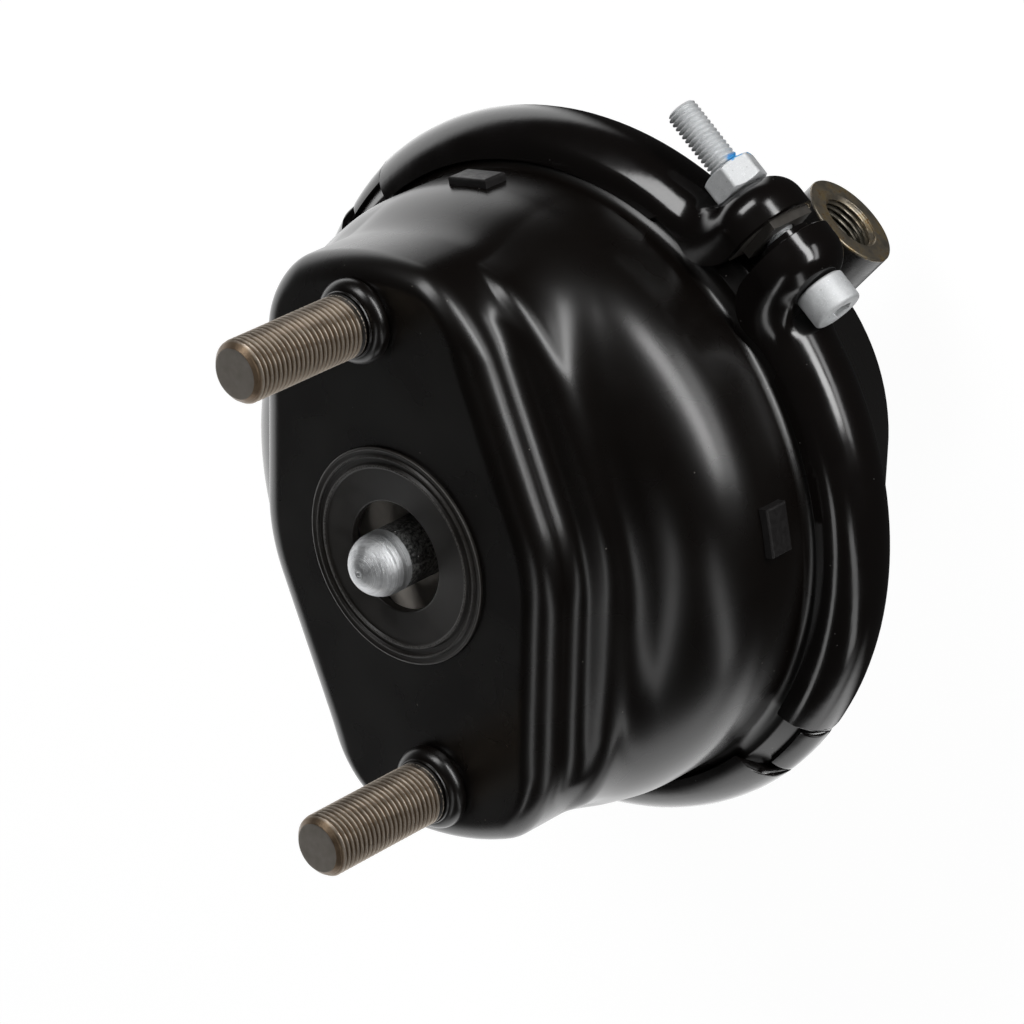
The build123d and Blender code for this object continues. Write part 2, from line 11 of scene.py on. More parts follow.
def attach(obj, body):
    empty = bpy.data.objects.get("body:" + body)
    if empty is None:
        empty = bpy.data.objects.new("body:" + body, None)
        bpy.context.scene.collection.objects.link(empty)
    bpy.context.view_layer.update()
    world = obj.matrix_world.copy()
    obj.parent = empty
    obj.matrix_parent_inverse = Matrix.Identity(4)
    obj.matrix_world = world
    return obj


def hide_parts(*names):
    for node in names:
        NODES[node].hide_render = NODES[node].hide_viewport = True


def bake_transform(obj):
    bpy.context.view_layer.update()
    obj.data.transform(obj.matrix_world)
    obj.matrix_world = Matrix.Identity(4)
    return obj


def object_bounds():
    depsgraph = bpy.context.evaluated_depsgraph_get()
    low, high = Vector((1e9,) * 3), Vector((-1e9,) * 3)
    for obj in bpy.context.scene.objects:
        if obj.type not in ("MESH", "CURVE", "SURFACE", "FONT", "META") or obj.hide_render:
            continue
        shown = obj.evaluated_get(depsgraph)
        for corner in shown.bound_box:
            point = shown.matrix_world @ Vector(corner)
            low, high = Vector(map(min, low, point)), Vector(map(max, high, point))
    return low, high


MM = 0.001

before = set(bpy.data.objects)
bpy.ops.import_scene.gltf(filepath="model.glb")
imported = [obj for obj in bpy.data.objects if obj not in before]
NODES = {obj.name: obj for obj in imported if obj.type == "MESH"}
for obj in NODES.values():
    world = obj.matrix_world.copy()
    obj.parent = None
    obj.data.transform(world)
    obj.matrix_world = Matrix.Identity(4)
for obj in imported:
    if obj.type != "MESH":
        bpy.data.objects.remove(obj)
CAD_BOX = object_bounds()

# ---- the camera's place and axes
EYE = Vector((406.99, -878.48, 828.61)) * MM
RIGHT = Vector((-0.14799, -0.72981, -0.66744)).normalized()
BACK = Vector((0.31490, -0.67452, 0.66773)).normalized()
UP = BACK.cross(RIGHT).normalized()
LENS = 184.81
SENSOR = 36.0

# ---- sizes in millimetres, the same as in the model
STUD_R = 60.325
STUD_LENGTH = 41.9
SHEET = 3.0
WALL_R = 80.0
SHOULDER_R = 25.0
SHOULDER_DEPTH = 20.0
STEP_DEPTH = 14.0
FACE_END_R = 76.0
TAPER = radians(13)
MOUTH_R = 28.1
CLAMP_DEPTH = 70.9
JOINT_Z = -68.9
RIM_R = 88.0
CROWN_R = 92.6
LIP_R = 85.2
BAND_SHEET = 2.6
BAND_HALF = 12.7
BAND_CLOCK = -49.0
EAR_NEAR = 3.2
EAR_FACE = 14.7
EAR_CENTRE_R = 96.1
BOLT_R = 98.4


AXES = ((1, 0, 0), (0, 1, 0), (0, 0, 1))


def put_in_scene(name, data, origin=(0, 0, 0), axes=AXES):
    """A new object in the scene, at an origin, its own axes along three given ones."""
    thing = bpy.data.objects.new(name, data)
    thing.matrix_world = Matrix.Translation(origin) @ Matrix(axes).transposed().to_4x4()
    bpy.context.scene.collection.objects.link(thing)
    return thing


def make_camera():
    """The camera at its place, with its own lens."""
    data = bpy.data.cameras.new("camera")
    data.lens = LENS
    data.sensor_width = SENSOR
    data.clip_end = 20
    bpy.context.scene.camera = put_in_scene("camera", data, EYE, (RIGHT, UP, BACK))


# ---- light: directions are given as an angle off the camera's line and a clock angle round it

LAMP_DISTANCE = 1.6


def direction(off, clock):
    """The world direction at an angle off the camera's line, at a clock angle from its right."""
    off, clock = radians(off), radians(clock)
    return RIGHT * (sin(off) * cos(clock)) + UP * (sin(off) * sin(clock)) + BACK * cos(off)


def soft_lamp(name, off, clock, turn, length, width, radiance):
    """A flat lamp facing the middle; length and width are the angles it fills, turn its long side."""
    out = direction(off, clock)
    radial = (out * cos(radians(off)) - BACK).normalized()
    across = out.cross(radial).normalized()
    along = radial * cos(radians(turn)) + across * sin(radians(turn))
    data = bpy.data.lights.new(name, "AREA")
    data.shape = "RECTANGLE"
    data.size = 2 * LAMP_DISTANCE * tan(radians(length / 2))
    data.size_y = 2 * LAMP_DISTANCE * tan(radians(width / 2))
    data.energy = radiance * pi * data.size * data.size_y
    lamp = put_in_scene(name, data, out * LAMP_DISTANCE, (along, out.cross(along), out))
    lamp.visible_camera = False


class Tree:
    """Short calls for a material's or world's nodes; a value is a number, a colour or another's socket."""

    def __init__(self, owner):
        owner.use_nodes = True
        self.owner = owner
        self.tree = owner.node_tree
        self.tree.nodes.clear()
        self.place = None

    def put(self, socket, value):
        """Link a socket to another, or give it a value."""
        if hasattr(value, "is_linked"):
            self.tree.links.new(value, socket)
        else:
            socket.default_value = value

    def add(self, kind, *values, **settings):
        """A new node with some settings and the values of its first inputs."""
        node = self.tree.nodes.new(kind)
        for key, value in settings.items():
            setattr(node, key, value)
        for socket, value in zip(node.inputs, values):
            self.put(socket, value)
        return node

    def named(self, kind, **values):
        """The first output of a new node, its inputs by name, an underscore standing for a space."""
        node = self.add(kind)
        for name, value in values.items():
            self.put(node.inputs[name.replace("_", " ")], value)
        return node.outputs[0]

    def math(self, operation, a, b=0.0, c=0.0):
        """One step of arithmetic."""
        return self.add("ShaderNodeMath", a, b, c, operation=operation).outputs[0]

    def times(self, a, b):
        """One value times another."""
        return self.math("MULTIPLY", a, b)

    def plus(self, a, b):
        """One value and another together."""
        return self.math("ADD", a, b)

    def rest(self, a):
        """What a value leaves of 1."""
        return self.math("SUBTRACT", 1.0, a)

    def radius(self, x, y):
        """The distance from an axis, from two distances across it."""
        return self.math("SQRT", self.plus(self.times(x, x), self.times(y, y)))

    def rings(self, radius, height):
        """A place made of a distance from an axis and one along it, for marks that run in rings."""
        return self.add("ShaderNodeCombineXYZ", radius, 0.0, height).outputs[0]

    def dot(self, vector, axis):
        """How far a vector reaches along an axis."""
        return self.add("ShaderNodeVectorMath", vector, axis, operation="DOT_PRODUCT").outputs["Value"]

    def ramp(self, value, low, high, start=0.0, end=1.0):
        """A smooth step from start to end as value goes from low to high."""
        return self.add("ShaderNodeMapRange", value, low, high, start, end,
                        interpolation_type="SMOOTHSTEP").outputs[0]

    def coordinates(self):
        """The object's own coordinates, in millimetres."""
        if self.place is None:
            source = self.add("ShaderNodeTexCoord").outputs["Object"]
            node = self.add("ShaderNodeVectorMath", source, operation="SCALE")
            node.inputs["Scale"].default_value = 1 / MM
            self.place = node.outputs[0]
        return self.place

    def local(self, origin, axes=AXES):
        """Coordinates in millimetres from an origin along three axes."""
        shifted = self.add("ShaderNodeVectorMath", self.coordinates(), origin, operation="SUBTRACT")
        return [self.dot(shifted.outputs[0], axis) for axis in axes]

    def noise(self, size, detail=3.0, roughness=0.55, place=None):
        """Noise from 0 to 1 whose features are about size millimetres across."""
        return self.named("ShaderNodeTexNoise", Vector=place or self.coordinates(), Scale=1.0 / size,
                          Detail=detail, Roughness=roughness)

    def specks(self, size, cover):
        """1 inside small round specks, one to a cell of size millimetres, and 0 between them."""
        distance = self.named("ShaderNodeTexVoronoi", Vector=self.coordinates(), Scale=1.0 / size,
                              Randomness=1.0)
        return self.ramp(distance, cover, cover * 0.5)

    def colours(self, value, *stops):
        """A colour from stops of (position, (red, green, blue))."""
        node = self.add("ShaderNodeValToRGB", value)
        ramp = node.color_ramp
        while len(ramp.elements) < len(stops):
            ramp.elements.new(0.5)
        for element, (position, colour) in zip(ramp.elements, stops):
            element.position = position
            element.color = (*colour, 1)
        return node.outputs[0]

    def mixed(self, factor, first, second):
        """One colour turning into another by a factor."""
        node = self.add("ShaderNodeMix", data_type="RGBA")
        self.put(node.inputs["Factor"], factor)
        for socket, colour in zip([s for s in node.inputs if s.type == "RGBA"], (first, second)):
            self.put(socket, colour if hasattr(colour, "is_linked") else (*colour, 1))
        return [s for s in node.outputs if s.type == "RGBA"][0]

    def bump(self, height, depth, below=None):
        """A bump from a height of 0 to 1, depth millimetres deep."""
        under = {} if below is None else {"Normal": below}
        return self.named("ShaderNodeBump", Height=height, Distance=depth * MM, **under)

    def surface(self, colour, roughness, metallic, specular, normal):
        """The owner, with a finished painted, metal, rubber or plastic surface."""
        shader = self.named("ShaderNodeBsdfPrincipled", Base_Color=colour, Roughness=roughness,
                            Metallic=metallic, Specular_IOR_Level=specular, Normal=normal)
        self.add("ShaderNodeOutputMaterial", shader)
        return self.owner


# ---- how bright the pale sweep is to mirrored and to soft light, the room around it, and its dark side
SWEEP_MIRRORED = 1.5
SWEEP_SOFT = 0.8
ROOM_LEVEL = 0.02
DARK_SIDE = 25
WHITE = (1, 1, 1, 1)


def make_world():
    """White to the camera; to other rays a pale sweep behind and low down, and dark elsewhere."""
    world = bpy.data.worlds.new("studio")
    bpy.context.scene.world = world
    tree = Tree(world)
    towards = tree.add("ShaderNodeTexCoord").outputs["Generated"]
    away = tree.dot(towards, -BACK)
    behind = tree.ramp(away, 0.24, 0.48)
    low = tree.times(tree.ramp(tree.dot(towards, -UP), 0.70, 0.90),
                    tree.ramp(away, 0.02, 0.20))
    flat = tree.math("SQRT", tree.math("MAXIMUM", tree.rest(tree.times(away, away)), 0.0001))
    beside = tree.math("DIVIDE", tree.dot(towards, direction(90, DARK_SIDE)), flat)
    clear = tree.ramp(beside, 0.25, 0.50, 1.0, 0.0)
    pale = tree.math("MAXIMUM", tree.times(behind, clear), low)
    rays = tree.add("ShaderNodeLightPath")
    sharp = tree.math("MAXIMUM", rays.outputs["Is Glossy Ray"], rays.outputs["Is Transmission Ray"])
    strength = tree.math("MULTIPLY_ADD", sharp, SWEEP_MIRRORED - SWEEP_SOFT, SWEEP_SOFT)
    lit_level = tree.math("MULTIPLY_ADD", pale, strength, ROOM_LEVEL)
    seen = tree.named("ShaderNodeBackground", Color=WHITE)
    lit = tree.named("ShaderNodeBackground", Color=WHITE, Strength=lit_level)
    mix = tree.add("ShaderNodeMixShader", rays.outputs["Is Camera Ray"], lit, seen)
    tree.add("ShaderNodeOutputWorld", mix.outputs[0])


def make_lamps():
    """A softbox high on either side, a strip beyond the right one, and two strips low down."""
    soft_lamp("left_softbox", 50, 128, 90, 34, 18, 7.0)
    soft_lamp("right_softbox", 41, 34, 90, 52, 13, 10.0)
    soft_lamp("right_strip", 58, 22, 90, 42, 9, 4.0)
    soft_lamp("low_strip_near", 62, -111, 0, 48, 9, 2.0)
    soft_lamp("low_strip_far", 68, -54, 0, 46, 9, 1.9)


def new_finish(name):
    """The emptied nodes of a new material."""
    return Tree(bpy.data.materials.new(name))


def make_floor():
    """A pale floor that the chamber stands on, seen by the camera alone."""
    lowest = CAD_BOX[0][2]
    half = 6.0
    mesh = bpy.data.meshes.new("floor")
    corners = [(-half, -half, lowest), (half, -half, lowest), (half, half, lowest), (-half, half, lowest)]
    mesh.from_pydata(corners, [], [(0, 1, 2, 3)])
    floor = put_in_scene("floor", mesh)
    tree = new_finish("pale_floor")
    lit = tree.named("ShaderNodeBsdfDiffuse", Color=(0.12, 0.12, 0.12, 1))
    glow = tree.named("ShaderNodeEmission", Color=WHITE, Strength=0.96)
    both = tree.add("ShaderNodeAddShader", lit, glow)
    tree.add("ShaderNodeOutputMaterial", both.outputs[0])
    mesh.materials.append(tree.owner)
    for rays in ("glossy", "diffuse", "transmission", "shadow"):
        setattr(floor, "visible_" + rays, False)


# ---- meshes from grids of points

def unit(vectors):
    """Vectors made 1 long."""
    return vectors / np.linalg.norm(vectors, axis=-1, keepdims=True)


def cells(index):
    """The four corners of each cell in a grid of point numbers."""
    return np.stack([index[:-1, :-1], index[:-1, 1:], index[1:, 1:], index[1:, :-1]], -1).reshape(-1, 4)


class Skin:
    """Gathers grids of points, in millimetres, into one mesh."""

    def __init__(self):
        self.points = []
        self.faces = []
        self.count = 0

    def grid(self, points, rows_close=False, columns_close=False, poles=(False, False)):
        """Faces over a grid; a closed direction joins up with its start, and a pole's row is one point."""
        rows, columns = points.shape[:2]
        index = np.arange(rows * columns).reshape(rows, columns)
        if poles[0]:
            index[0] = index[0, 0]
        if poles[1]:
            index[-1] = index[-1, 0]
        if rows_close:
            index = np.vstack([index, index[:1]])
        if columns_close:
            index = np.hstack([index, index[:, :1]])
        quads = cells(index)
        top = quads[:, 0] == quads[:, 1]
        bottom = quads[:, 2] == quads[:, 3]
        plain = quads[~(top | bottom)]
        fans = np.vstack([quads[top][:, [0, 2, 3]], quads[bottom][:, [0, 1, 2]]])
        used, fresh = np.unique(np.concatenate([plain.ravel(), fans.ravel()]), return_inverse=True)
        plain_fresh = fresh[:plain.size].reshape(-1, 4) + self.count
        fans_fresh = fresh[plain.size:].reshape(-1, 3) + self.count
        self.points.append(points.reshape(-1, 3)[used])
        self.faces += plain_fresh.tolist() + fans_fresh.tolist()
        self.count += len(used)
        return self

    def thick(self, outer, inner, bulge=0.45, turns=5):
        """A closed sheet between two grids of the same shape, its four edges rounded over."""
        def edge(first, second, inward_first):
            """Rows from one edge to the other across the thickness, pushed outward in the middle."""
            steps = np.linspace(0, 1, turns)[1:-1]
            away = first - inward_first
            away = away / np.maximum(np.linalg.norm(away, axis=-1, keepdims=True), 1e-9)
            return [first + (second - first) * t + away * bulge * (1 - (2 * t - 1) ** 4) for t in steps]
        low = edge(inner[:, 0], outer[:, 0], inner[:, 1])
        high = edge(outer[:, -1], inner[:, -1], outer[:, -2])
        loop = np.concatenate([outer, np.stack(high, 1), inner[:, ::-1], np.stack(low, 1)], 1)
        self.grid(loop, columns_close=True)
        start = self.count - loop.shape[0] * loop.shape[1]
        width = outer.shape[1]
        size = loop.shape[1]
        for row, near in ((0, 1), (loop.shape[0] - 1, loop.shape[0] - 2)):
            middle = np.stack(edge(outer[row], inner[row], outer[near]))
            base = self.count
            self.points.append(middle.reshape(-1, 3))
            self.count += middle.shape[0] * width
            top = start + row * size + np.arange(width)
            under = start + row * size + width + len(high) + np.arange(width)[::-1]
            body = base + np.arange(middle.shape[0] * width).reshape(-1, width)
            self.faces += cells(np.vstack([top, body, under])).tolist()
            high_side = start + row * size + width + np.arange(len(high))
            low_side = start + row * size + 2 * width + len(high) + np.arange(len(low))
            self.faces.append([int(top[-1]), *map(int, high_side), int(under[-1]), *map(int, body[::-1, -1])])
            self.faces.append([int(under[0]), *map(int, low_side), int(top[0]), *map(int, body[:, 0])])
        return self

    def capped(self, rings):
        """Faces over rings that begin and end in a point."""
        return self.grid(rings, columns_close=True, poles=(True, True))

    def make(self, name, material, slot, node, sharp=50, body="chamber", reach=None):
        """The finished object in place of a CAD node, riding on a body, or left unattached with its place
        baked in when a reach is given.
        """
        mesh = bpy.data.meshes.new(name)
        points = np.concatenate(self.points) * MM
        mesh.from_pydata(points.tolist(), [], self.faces)
        mesh.validate()
        work = bmesh.new()
        work.from_mesh(mesh)
        bmesh.ops.recalc_face_normals(work, faces=work.faces)
        work.to_mesh(mesh)
        work.free()
        mesh.polygons.foreach_set("use_smooth", np.ones(len(mesh.polygons), dtype=bool))
        mesh.set_sharp_from_angle(angle=radians(sharp))
        mesh.materials.append(material)
        piece = put_in_scene(name, mesh)
        if reach:
            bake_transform(piece)
        else:
            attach(piece, body)
        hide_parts(node)


def rounded(corners, steps=6, closed=False):
    """An outline through (x, y, radius) corners, each turned by an arc of its radius."""
    places = [np.array(corner[:2], dtype=float) for corner in corners]
    outline = []
    last = len(corners) - 1
    for number, place in enumerate(places):
        radius = corners[number][2] if len(corners[number]) > 2 else 0.0
        if radius == 0 or (not closed and number in (0, last)):
            outline.append(place)
            continue
        before = places[number - 1] - place
        after = places[(number + 1) % len(places)] - place
        before = before / np.linalg.norm(before)
        after = after / np.linalg.norm(after)
        half = np.arccos(np.clip(before @ after, -1, 1)) / 2
        centre = place + (before + after) / np.linalg.norm(before + after) * radius / sin(half)
        first = place + before * radius / tan(half) - centre
        second = place + after * radius / tan(half) - centre
        sweep = pi - 2 * half
        for t in np.linspace(0, 1, steps + 1):
            weight = sin((1 - t) * sweep) * first + sin(t * sweep) * second
            outline.append(centre + weight / sin(sweep))
    return np.array(outline)


def full_turn(segments):
    """Even clock angles once round."""
    return np.linspace(0, 2 * pi, segments, endpoint=False)


def ring(radius, height, turn):
    """Points at a radius and a height, at clock angles round Z."""
    return np.stack([radius * np.cos(turn), radius * np.sin(turn), height + 0 * turn], -1)


def rings_at(places, turn):
    """A list of rings, one at each (radius, height)."""
    return [ring(radius, height, turn) for radius, height in places]


def spin(outline, turn):
    """An outline of (radius, height) points carried round Z: one row for each outline point."""
    return ring(outline[:, :1], outline[:, 1:], turn)


def placed(points, origin, x_axis, y_axis, z_axis):
    """Points given along three axes, moved to their place."""
    axes = np.array([x_axis, y_axis, z_axis], dtype=float)
    return points @ axes + np.array(origin, dtype=float)


def walked(points):
    """How far along itself each point of an outline is, or down each column of a grid."""
    length = np.linalg.norm(np.diff(points, axis=0), axis=-1)
    return np.concatenate([0 * length[:1], np.cumsum(length, 0)])


def evened(values, path, rows):
    """Values on a grid, taken again at even lengths down each column of its path."""
    along = walked(path)
    steps = np.linspace(0, 1, rows)
    return np.stack([np.interp(steps * along[-1, c], along[:, c], values[:, c])
                     for c in range(path.shape[1])], 1)


def bisected(holds, shape, reach, times):
    """The furthest lengths, from 0 up to reach, at which a test still holds, by halving."""
    near = np.zeros(shape)
    far = np.full(shape, reach)
    for _ in range(times):
        middle = (near + far) / 2
        held = holds(middle)
        near = np.where(held, middle, near)
        far = np.where(held, far, middle)
    return near


# ---- front housing: a drawn shell whose face, step and dome run into each other

RAY_Z = -57.4
RAY_REACH = 130.0
HOUSING_ROWS = 236
HOUSING_COLUMNS = 300
CORNER_CLOCKS = (30, 150, 210, 330)
CORNER_SPREAD = 17
CORNER_WEIGHT = 1.8
FACE_HALF = 47.5
FACE_SIDE_EDGE = 7.5
FACE_END_EDGE = 6.5
STEP_HALF = 56.0
STEP_EDGE = 5.0
FACE_CORNER = 13.0
STEP_CORNER = 10.0
STEP_SETBACK = 1.0
EDGE_FADE = (46, 64)
VALLEY = 6.5
VALLEY_LEAST = 0.01
VALLEY_FADE = (69, 75.5)
DOME_ROOM = 8.0
RIM_FRONT_Z = -61.33
RIM_SHOULDER_R = 84.3
RIM_SIDE_Z = -65.73


def ease(value, low, high):
    """A smooth step from 0 to 1 as value goes from low to high."""
    t = np.clip((value - low) / (high - low), 0, 1)
    return t * t * (3 - 2 * t)


def rounded_meet(first, second, radius):
    """The distance to two walls that meet, the corner between them rounded."""
    u = first + radius
    v = second + radius
    return np.minimum(np.maximum(u, v), 0) + np.hypot(np.maximum(u, 0), np.maximum(v, 0)) - radius


def flowing(first, second, room):
    """The nearer of two distances, eased over a width of room where the forms meet."""
    h = np.maximum(room - np.abs(first - second), 0) / room
    return np.minimum(first, second) - h * h * room / 4


def filleted(first, second, radius):
    """The nearer of two distances, with a round fillet where the forms meet in a valley."""
    u = np.maximum(radius - first, 0)
    v = np.maximum(radius - second, 0)
    return np.maximum(radius, np.minimum(first, second)) - np.hypot(u, v)


def housing_distance(p):
    """How far points are outside the drawn form.

    The face and the step are rhomboid plans (two sides tapering from a middle circle, cut by an
    end circle, corners rounded) with a rounded top edge; the dome is a cylinder with a torus shoulder.
    """
    x, y, z = p[..., 0], p[..., 1], p[..., 2]
    r = np.hypot(x, y)
    across, along = np.abs(y), np.abs(x)
    slanted = along * cos(TAPER) > across * sin(TAPER)
    side = np.where(slanted, along * sin(TAPER) + across * cos(TAPER), r)
    edge = FACE_SIDE_EDGE + (FACE_END_EDGE - FACE_SIDE_EDGE) * ease(along, *EDGE_FADE)
    face = rounded_meet(rounded_meet(side - FACE_HALF, r - FACE_END_R, FACE_CORNER), z, edge)
    ends = r - FACE_END_R + STEP_SETBACK
    step = rounded_meet(rounded_meet(side - STEP_HALF, ends, STEP_CORNER), z + STEP_DEPTH, STEP_EDGE)
    dome = rounded_meet(r - WALL_R, z + SHOULDER_DEPTH, SHOULDER_R)
    valley = VALLEY_LEAST + VALLEY * (1 - ease(r, *VALLEY_FADE))
    return flowing(filleted(face, step, valley), dome, DOME_ROOM)


def form_normal(distance, p):
    """The outward direction of a form at some points, by small steps along each axis."""
    step = 0.05
    slope = np.stack([distance(p + step * axis) - distance(p - step * axis) for axis in np.eye(3)], -1)
    return unit(slope)


def housing_clocks():
    """Clock angles round the axis, closer together at the face's four corners."""
    fine = np.linspace(0, 360, 3601)
    weight = np.ones_like(fine)
    for corner in CORNER_CLOCKS:
        weight += CORNER_WEIGHT * (1 - ease(np.abs(fine - corner), CORNER_SPREAD * 0.6, CORNER_SPREAD))
    total = np.concatenate([[0], np.cumsum((weight[1:] + weight[:-1]) / 2)])
    wanted = np.linspace(0, total[-1], HOUSING_COLUMNS, endpoint=False)
    return np.radians(np.interp(wanted, total, fine))


def cast(tilt, clock):
    """Where rays from the axis, tilted from it at a clock angle, leave the form, by bisection."""
    ray = ring(np.sin(tilt), np.cos(tilt), clock)
    origin = np.array([0, 0, RAY_Z])
    length = bisected(lambda reach: housing_distance(origin + ray * reach[..., None]) < 0,
                      ray.shape[:-1], RAY_REACH, 26)
    return origin + ray * length[..., None]


def make_front_housing(material):
    """The shell: rays from the axis meet the form in even steps from the mouth to the wall; then the rim."""
    clocks = housing_clocks()
    start = atan2(MOUTH_R, -RAY_Z)
    tilts = np.linspace(start, pi / 2, 420)[:, None] + np.zeros(len(clocks))
    even = evened(tilts, cast(tilts, clocks + np.zeros_like(tilts)), HOUSING_ROWS)
    outer = cast(even, clocks + np.zeros_like(even))
    inner = (outer - SHEET * form_normal(housing_distance, outer))[::5][::-1]
    rim = rounded([(WALL_R, RAY_Z), (WALL_R, RIM_FRONT_Z, 3.8), (RIM_SHOULDER_R, RIM_FRONT_Z, 0.8),
                   (RIM_R, RIM_SIDE_Z, 0.8), (RIM_R, JOINT_Z, 0.3), (WALL_R - SHEET, JOINT_Z, 0.3),
                   (WALL_R - SHEET, RAY_Z - 1)])
    rows = np.concatenate([outer, spin(rim[1:], clocks), inner])
    Skin().grid(rows, True, True).make("drawn_front_housing", material, "satin_black", "front_housing")


# ---- clamp band: a V section carried round, flowing into a closed ear at each end

CROWN_BEND = 12.0
LIP_BEND = 3.4
LIP_HALF = 12.9
LIP_END_R = 84.6
LIP_RISE = 0.9
KNEE_BEND = 1.5
NOTCH_PLACES = (90, -90)
NOTCH_HALF = 10.5
NOTCH_WEB = 5.5
NOTCH_CORNER = 3.5
NOTCH_EDGE = 1.5
WEB_BEND = 6.5
WEB_TURN = radians(66)
EAR_BEND = 7.6
EAR_FOOT = 82.0
EAR_FLOOR_R = 70.0
EAR_CORNER_R = 93.0
EAR_CORNER = 10.5
EAR_WAIST = 1.2
ROOT_MIDDLE = 4.0
ROOT_SIDES = 9.0
ROOT_FADE = (3, 8)
SINK_FADE = (0.55, 1.0)
RING_START = 25.0
EAR_ROWS = 60
SECTION_COLUMNS = 57


def flank_tilt():
    """How far the V's flanks lean, so that they run from the lip's bend to the rounded crown."""
    reach, drop = LIP_HALF, CROWN_R - CROWN_BEND - LIP_R - LIP_RISE
    return atan2(reach, drop) - np.arccos(CROWN_BEND / np.hypot(reach, drop))


def clamp_distance(p):
    """How far points in the clamp's axes are outside the band and its ear, which flow together.

    The band is a V with a rounded crown turned round the axis, with its flanks bent at the lips;
    the ear is a bar with a half-round top along the bolt, ending in a rounded face.
    """
    out, side, along = p[..., 0], np.abs(p[..., 1]), np.abs(p[..., 2])
    tilt = flank_tilt()
    up = np.hypot(out, along) - (CROWN_R - CROWN_BEND)
    flank = side * cos(tilt) > up * sin(tilt)
    wedge = np.where(flank, up * cos(tilt) + side * sin(tilt), np.hypot(up, side)) - CROWN_BEND
    ring = rounded_meet(wedge, side - LIP_HALF, LIP_BEND)
    bar = np.hypot(np.maximum(out - EAR_CENTRE_R, 0), side) - BAND_HALF
    bar = np.maximum(bar, EAR_FLOOR_R - out) + EAR_WAIST * (1 - ease(out, EAR_FOOT, EAR_CENTRE_R))
    ear = rounded_meet(bar, along - EAR_FACE, EAR_BEND)
    room = ROOT_MIDDLE + (ROOT_SIDES - ROOT_MIDDLE) * ease(side, *ROOT_FADE)
    return flowing(ring, ear, room)


def pulled(points, times):
    """Points moved along the form's normal until they lie on it."""
    for _ in range(times):
        away = clamp_distance(points)[..., None]
        points = points - away * form_normal(clamp_distance, points)
    return points


def section_points(outline, lengths):
    """Points at some lengths along an outline."""
    return np.stack([np.interp(lengths, walked(outline), outline[:, axis]) for axis in (0, 1)], -1)


def outline_length(outline):
    """How long an outline is."""
    return float(np.linalg.norm(np.diff(outline, axis=0), axis=1).sum())


def band_section():
    """The section as (radius, height) from lip to lip."""
    tilt = flank_tilt()
    tip = CROWN_R + CROWN_BEND * (1 / cos(tilt) - 1)
    knee = tip - LIP_HALF * tan(tilt)
    return rounded([(LIP_END_R, LIP_HALF), (knee, LIP_HALF, KNEE_BEND), (tip, 0, CROWN_BEND),
                    (knee, -LIP_HALF, KNEE_BEND), (LIP_END_R, -LIP_HALF)], 16)


def ear_foot(along):
    """How far out the ear's walls end: down to its foot, the corner at the gap rounded away."""
    t = np.clip((along - EAR_NEAR) / EAR_CORNER, 0, 1)
    return EAR_CORNER_R - (EAR_CORNER_R - EAR_FOOT) * np.sqrt(1 - (1 - t) ** 2)


def ear_place(across, along):
    """Points on the bar: across runs from -1 to 1 over its two walls and its half-round top."""
    foot = ear_foot(along)
    whole = EAR_CENTRE_R - foot + BAND_HALF * pi / 2
    length = np.abs(across) * whole
    turn = np.minimum(length / BAND_HALF, pi / 2)
    down = np.maximum(length - BAND_HALF * pi / 2, 0)
    return np.stack([EAR_CENTRE_R + BAND_HALF * np.cos(turn) - down,
                     BAND_HALF * np.sin(turn) * np.sign(across), along + 0 * across], -1)


def ring_place(across, along, section):
    """Points on the band beside the ear, at some distance along from the middle of the gap."""
    half = outline_length(section) / 2
    place = section_points(section, half * (1 + across))
    out = np.sqrt(place[..., 0] ** 2 - along ** 2)
    start = np.sqrt(LIP_END_R ** 2 - RING_START ** 2)
    lip = EAR_FOOT + (start - EAR_FOOT) * ease(along, EAR_FACE, RING_START)
    sunk = (np.sqrt(LIP_END_R ** 2 - along ** 2) - lip) * ease(np.abs(across), *SINK_FADE)
    return np.stack([out - sunk, place[..., 1], along + 0 * across], -1)


def notch_offsets(turn):
    """How far along the lip some angles are from the middle of each notch."""
    return [radians(1) * np.abs((np.degrees(turn) - place + 180) % 360 - 180) * LIP_R
            for place in NOTCH_PLACES]


def notch_limit(turn, full):
    """How far from the middle the section reaches: less inside a notch, its corners rounded."""
    limit = np.full(turn.shape, full)
    for along in notch_offsets(turn):
        inside = np.clip((along - (NOTCH_HALF - NOTCH_CORNER)) / NOTCH_CORNER, 0, 1)
        deep = NOTCH_WEB + NOTCH_CORNER * (1 - np.sqrt(1 - inside ** 2))
        outside = np.clip((NOTCH_HALF + NOTCH_EDGE - along) / NOTCH_EDGE, 0, 1)
        high = full - NOTCH_EDGE * (1 - np.sqrt(1 - outside ** 2))
        limit = np.where(along < NOTCH_HALF, np.minimum(limit, deep), np.minimum(limit, high))
    return limit


def notch_share(turn):
    """How much the band is bent into a notch's narrow web: 1 inside a notch, 0 beside it."""
    share = np.zeros(turn.shape)
    for along in notch_offsets(turn):
        share = np.maximum(share, 1 - ease(along, NOTCH_HALF - NOTCH_CORNER, NOTCH_HALF))
    return share


def ring_turns():
    """Angles round the band away from its ears, close together at the edges of the notches."""
    start = np.degrees(np.arcsin(RING_START / CROWN_R))
    turns = [np.linspace(start, 360 - start, 150)]
    for place in NOTCH_PLACES:
        for side in (-1, 1):
            edge = (place + side * np.degrees(NOTCH_HALF / LIP_R)) % 360
            turns.append(np.linspace(edge - 2.8, edge + 2.8, 40))
    return np.radians(np.unique(np.round(np.concatenate(turns), 3)))


